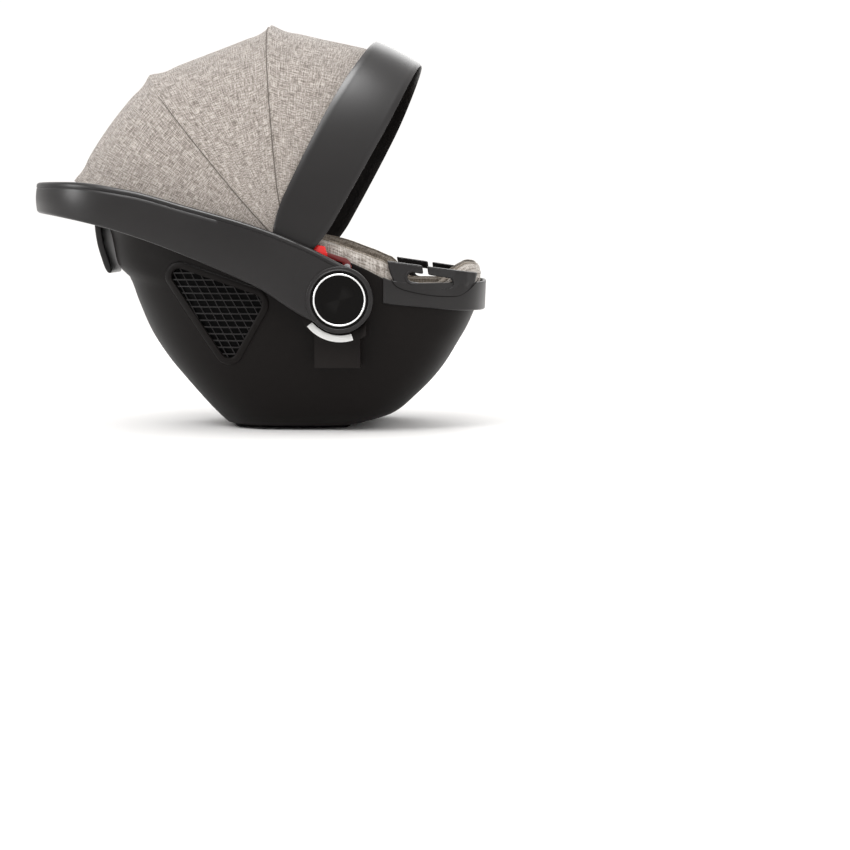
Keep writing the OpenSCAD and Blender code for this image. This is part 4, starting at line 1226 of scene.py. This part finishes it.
def make_harness():
    """Shoulder straps with their pads, the crotch strap and the adjuster's strap."""
    heights = (0.6, 0.5, 0.4, 0.3, 0.2, 0.1)
    ends = [buckle_point(-TONGUE_END - 8), buckle_point(-TONGUE_END - 0.1)]
    places = [back_point(h, STRAP_LIFT) for h in heights] + ends
    middles = [STRAP_Y] * 5 + [30, TONGUE_Y + 1, TONGUE_Y]
    halves = [16] * 5 + [14, 8, 8]
    rounded = [(math.copysign(abs(math.cos(a)) ** 0.35, math.cos(a)),
                math.copysign(abs(math.sin(a)) ** 0.6, math.sin(a)))
               for a in (2 * math.pi * k / 28 for k in range(28))]
    for side, word in SIDES:
        make_webbing("shoulder_webbing_" + word, "shoulder_strap_" + word,
                     [(p.x, p.y, side * m, w) for p, m, w in zip(places, middles, halves)], 1.6)
        pad = [back_point(0.565 - 0.0315 * i, STRAP_LIFT) for i in range(11)]
        body = band("shoulder_cushion_" + word,
                    [(p.x, p.y, side * (STRAP_Y - 0.5), 21.0) for p in pad], 9.0, rounded)
        puffed(body, "shoulder_pad_" + word, 0.004, 0.004,
               channels=lambda p: 1.6 * math.exp(-((abs(abs(p.y) - STRAP_Y) - 13.5) / 1.3) ** 2))
    make_webbing("crotch_webbing", "crotch_strap",
                 [(BUCKLE.x + 33, SEAT_Z + 1.2, 0, 15), (BUCKLE.x + 32.5, BUCKLE.y, 0, 15),
                  (*buckle_point(28), 0, 15), (*buckle_point(22.1), 0, 15)], 2.0)
    start_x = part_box("adjuster_strap")[0].x / MM
    strap = [(start_x, SEAT_Z + 4.6), (start_x + 9, SEAT_Z + 4.6)]
    for h in (0.07, 0.2, 0.31):
        x = FOOT_X * front_line(h) - 30.0
        strap.append((x - 2.4, SEAT_Z + h * (RIM_FOOT - SEAT_Z) + 5.4))
    make_webbing("adjuster_webbing", "adjuster_strap", [(x, z, 0, 14) for x, z in strap], 1.6)


def make_soft_pads():
    """The head support, with a channel on each side, and the crotch pad."""
    puffed(cad_copy("head_support", "head_support_pad"), "head_support", 0.006, 0.008,
           channels=lambda p: 2.2 * math.exp(-((abs(p.y) - 62) / 2.2) ** 2))
    puffed(cad_copy("crotch_pad", "crotch_cushion"), "crotch_pad", 0.004, 0.003)


# ------------------------------------------------------------------ the rest
def guide_face(x, z, side):
    """A place on the outside of a lap belt guide or of the rim under it."""
    return Vector((x, side * side_y(x, min(z, rim_line(x)), 3.9), z)) * MM


def make_guide_lines(side, word):
    """Raised bead round the belt slot, and a near-black cord along the joint under the guide: painted shade of the
    gap.
    """
    a, b, r = Vector((211, 208)), Vector((258, 200.5)), 8.6
    lean = math.atan2(b.y - a.y, b.x - a.x)
    line = []
    for centre, first, last in ((a, 130, 270), (b, 270, 410)):
        for i in range(41):
            turn = lean + math.radians(first + (last - first) * i / 40)
            line.append(centre + r * Vector((math.cos(turn), math.sin(turn))))
    path = [guide_face(p.x, p.y, side) for p in line]
    finish_piece(tube("guide_bead_" + word, path, 0.55 * MM, 8), "root", "satin_plastic")
    under = smooth_path([Vector(p) for p in ((183, 206), (189, 197), (199, 191.5), (216, 187),
                                             (236, 183.5), (255, 182), (272, 182.5),
                                             (283, 188), (292, 196), (299, 205))], 8)
    # Near-black cord standing proud of the rim: painted shade along the joint.
    path = [guide_face(p.x, p.y, side) + Vector((0, side * 0.3 * MM, 0)) for p in under]
    finish_piece(tube("guide_joint_shade_" + word, path, 0.55 * MM, 6), "root", "button_plastic")


def make_belt_hook():
    """Curved arm that holds the shoulder belt, hanging from the rim behind the head."""
    low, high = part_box("shoulder_belt_guide")
    half = (high.y - low.y) / 2 / MM
    x0 = low.x / MM
    line = smooth_path([Vector((x0 + 7.0, high.z / MM - 2.0)), Vector((x0 + 7.2, 272.0)),
                        Vector((x0 + 10.5, 250.0)), Vector((x0 + 17.0, 228.0)),
                        Vector((x0 + 23.0, 210.5))], 8)
    sections = []
    for i, place in enumerate(line):
        along = run_at(line, i).normalized()
        across = Vector((-along.y, along.x))
        left = (len(line) - 1 - i) / 6
        thick = 9.5 * (math.sqrt(max(0.05, 1 - (1 - left) ** 2)) if left < 1 else 1.0)
        sections.append([Vector((place.x + across.x * v, u, place.y + across.y * v)) * MM
                         for u, v in rounded_section(2 * half, thick, min(2.4, thick * 0.45))])
    finish_piece(loft("shoulder_belt_hook", sections), "root", "satin_plastic",
                 nodes=("shoulder_belt_guide",), crease=50)


def paint_lever_shade(lever):
    """Bright press end, with the bar behind it in a darker red copy of the material: painted shade where it lies
    in shadow.
    """
    lever.data.materials.append(LEVER_PAINTED_SHADE)
    press_end = HUB.x - 17 * MM
    work = bmesh.new()
    work.from_mesh(lever.data)
    bmesh.ops.bisect_plane(work, geom=work.verts[:] + work.edges[:] + work.faces[:],
                           plane_co=(press_end, 0, 0), plane_no=(1, 0, 0))
    work.to_mesh(lever.data)
    work.free()
    # Faces past the press end take the darker copy: painted shade.
    for face in lever.data.polygons:
        face.material_index = 1 if face.center.x > press_end else 0


def make_details():
    """Small parts with softened edges, then looks for every CAD node that is still drawn."""
    for _, side in SIDES:
        moulded("lap_belt_guide_" + side, "root", 0.0011, 26)
        refined("pivot_housing_" + side, "root")
        refined("adapter_socket_" + side, "root", 0.0016)
        refined("socket_collar_" + side, "root", 0.0009)
        paint_lever_shade(refined("release_lever_" + side, "lever_" + side, 0.0012))
        refined("adapter_latch_" + side, "latch_" + side, 0.0003)
    make_belt_hook()
    for side, word in SIDES:
        make_guide_lines(side, word)
    refined("base_runners", "root", 0.001)
    refined("buckle_body", "root", 0.0015)
    refined("buckle_button", "buckle_release", 0.0010)
    refined("adjuster_housing", "root", 0.0010)
    refined("adjuster_button", "adjuster_release", 0.0008)
    for name, node in frame["nodes"].items():
        if node.hide_render:
            continue
        if "weave" not in node.data.uv_layers:
            box_weave(node.data)
        if not node.data.materials:
            node.data.materials.append(MATERIALS[SLOT_OF[name]])
        for index in range(len(node.material_slots)):
            node.material_slots[index].material = MATERIALS[SLOT_OF[name]]


make_camera()
make_light()
make_floor()
make_shell()
for vent_side, vent_word in SIDES:
    make_vent(vent_side, vent_word)
make_handle()
make_canopy()
make_foot_rim()
make_cover()
make_soft_pads()
make_harness()
make_details()
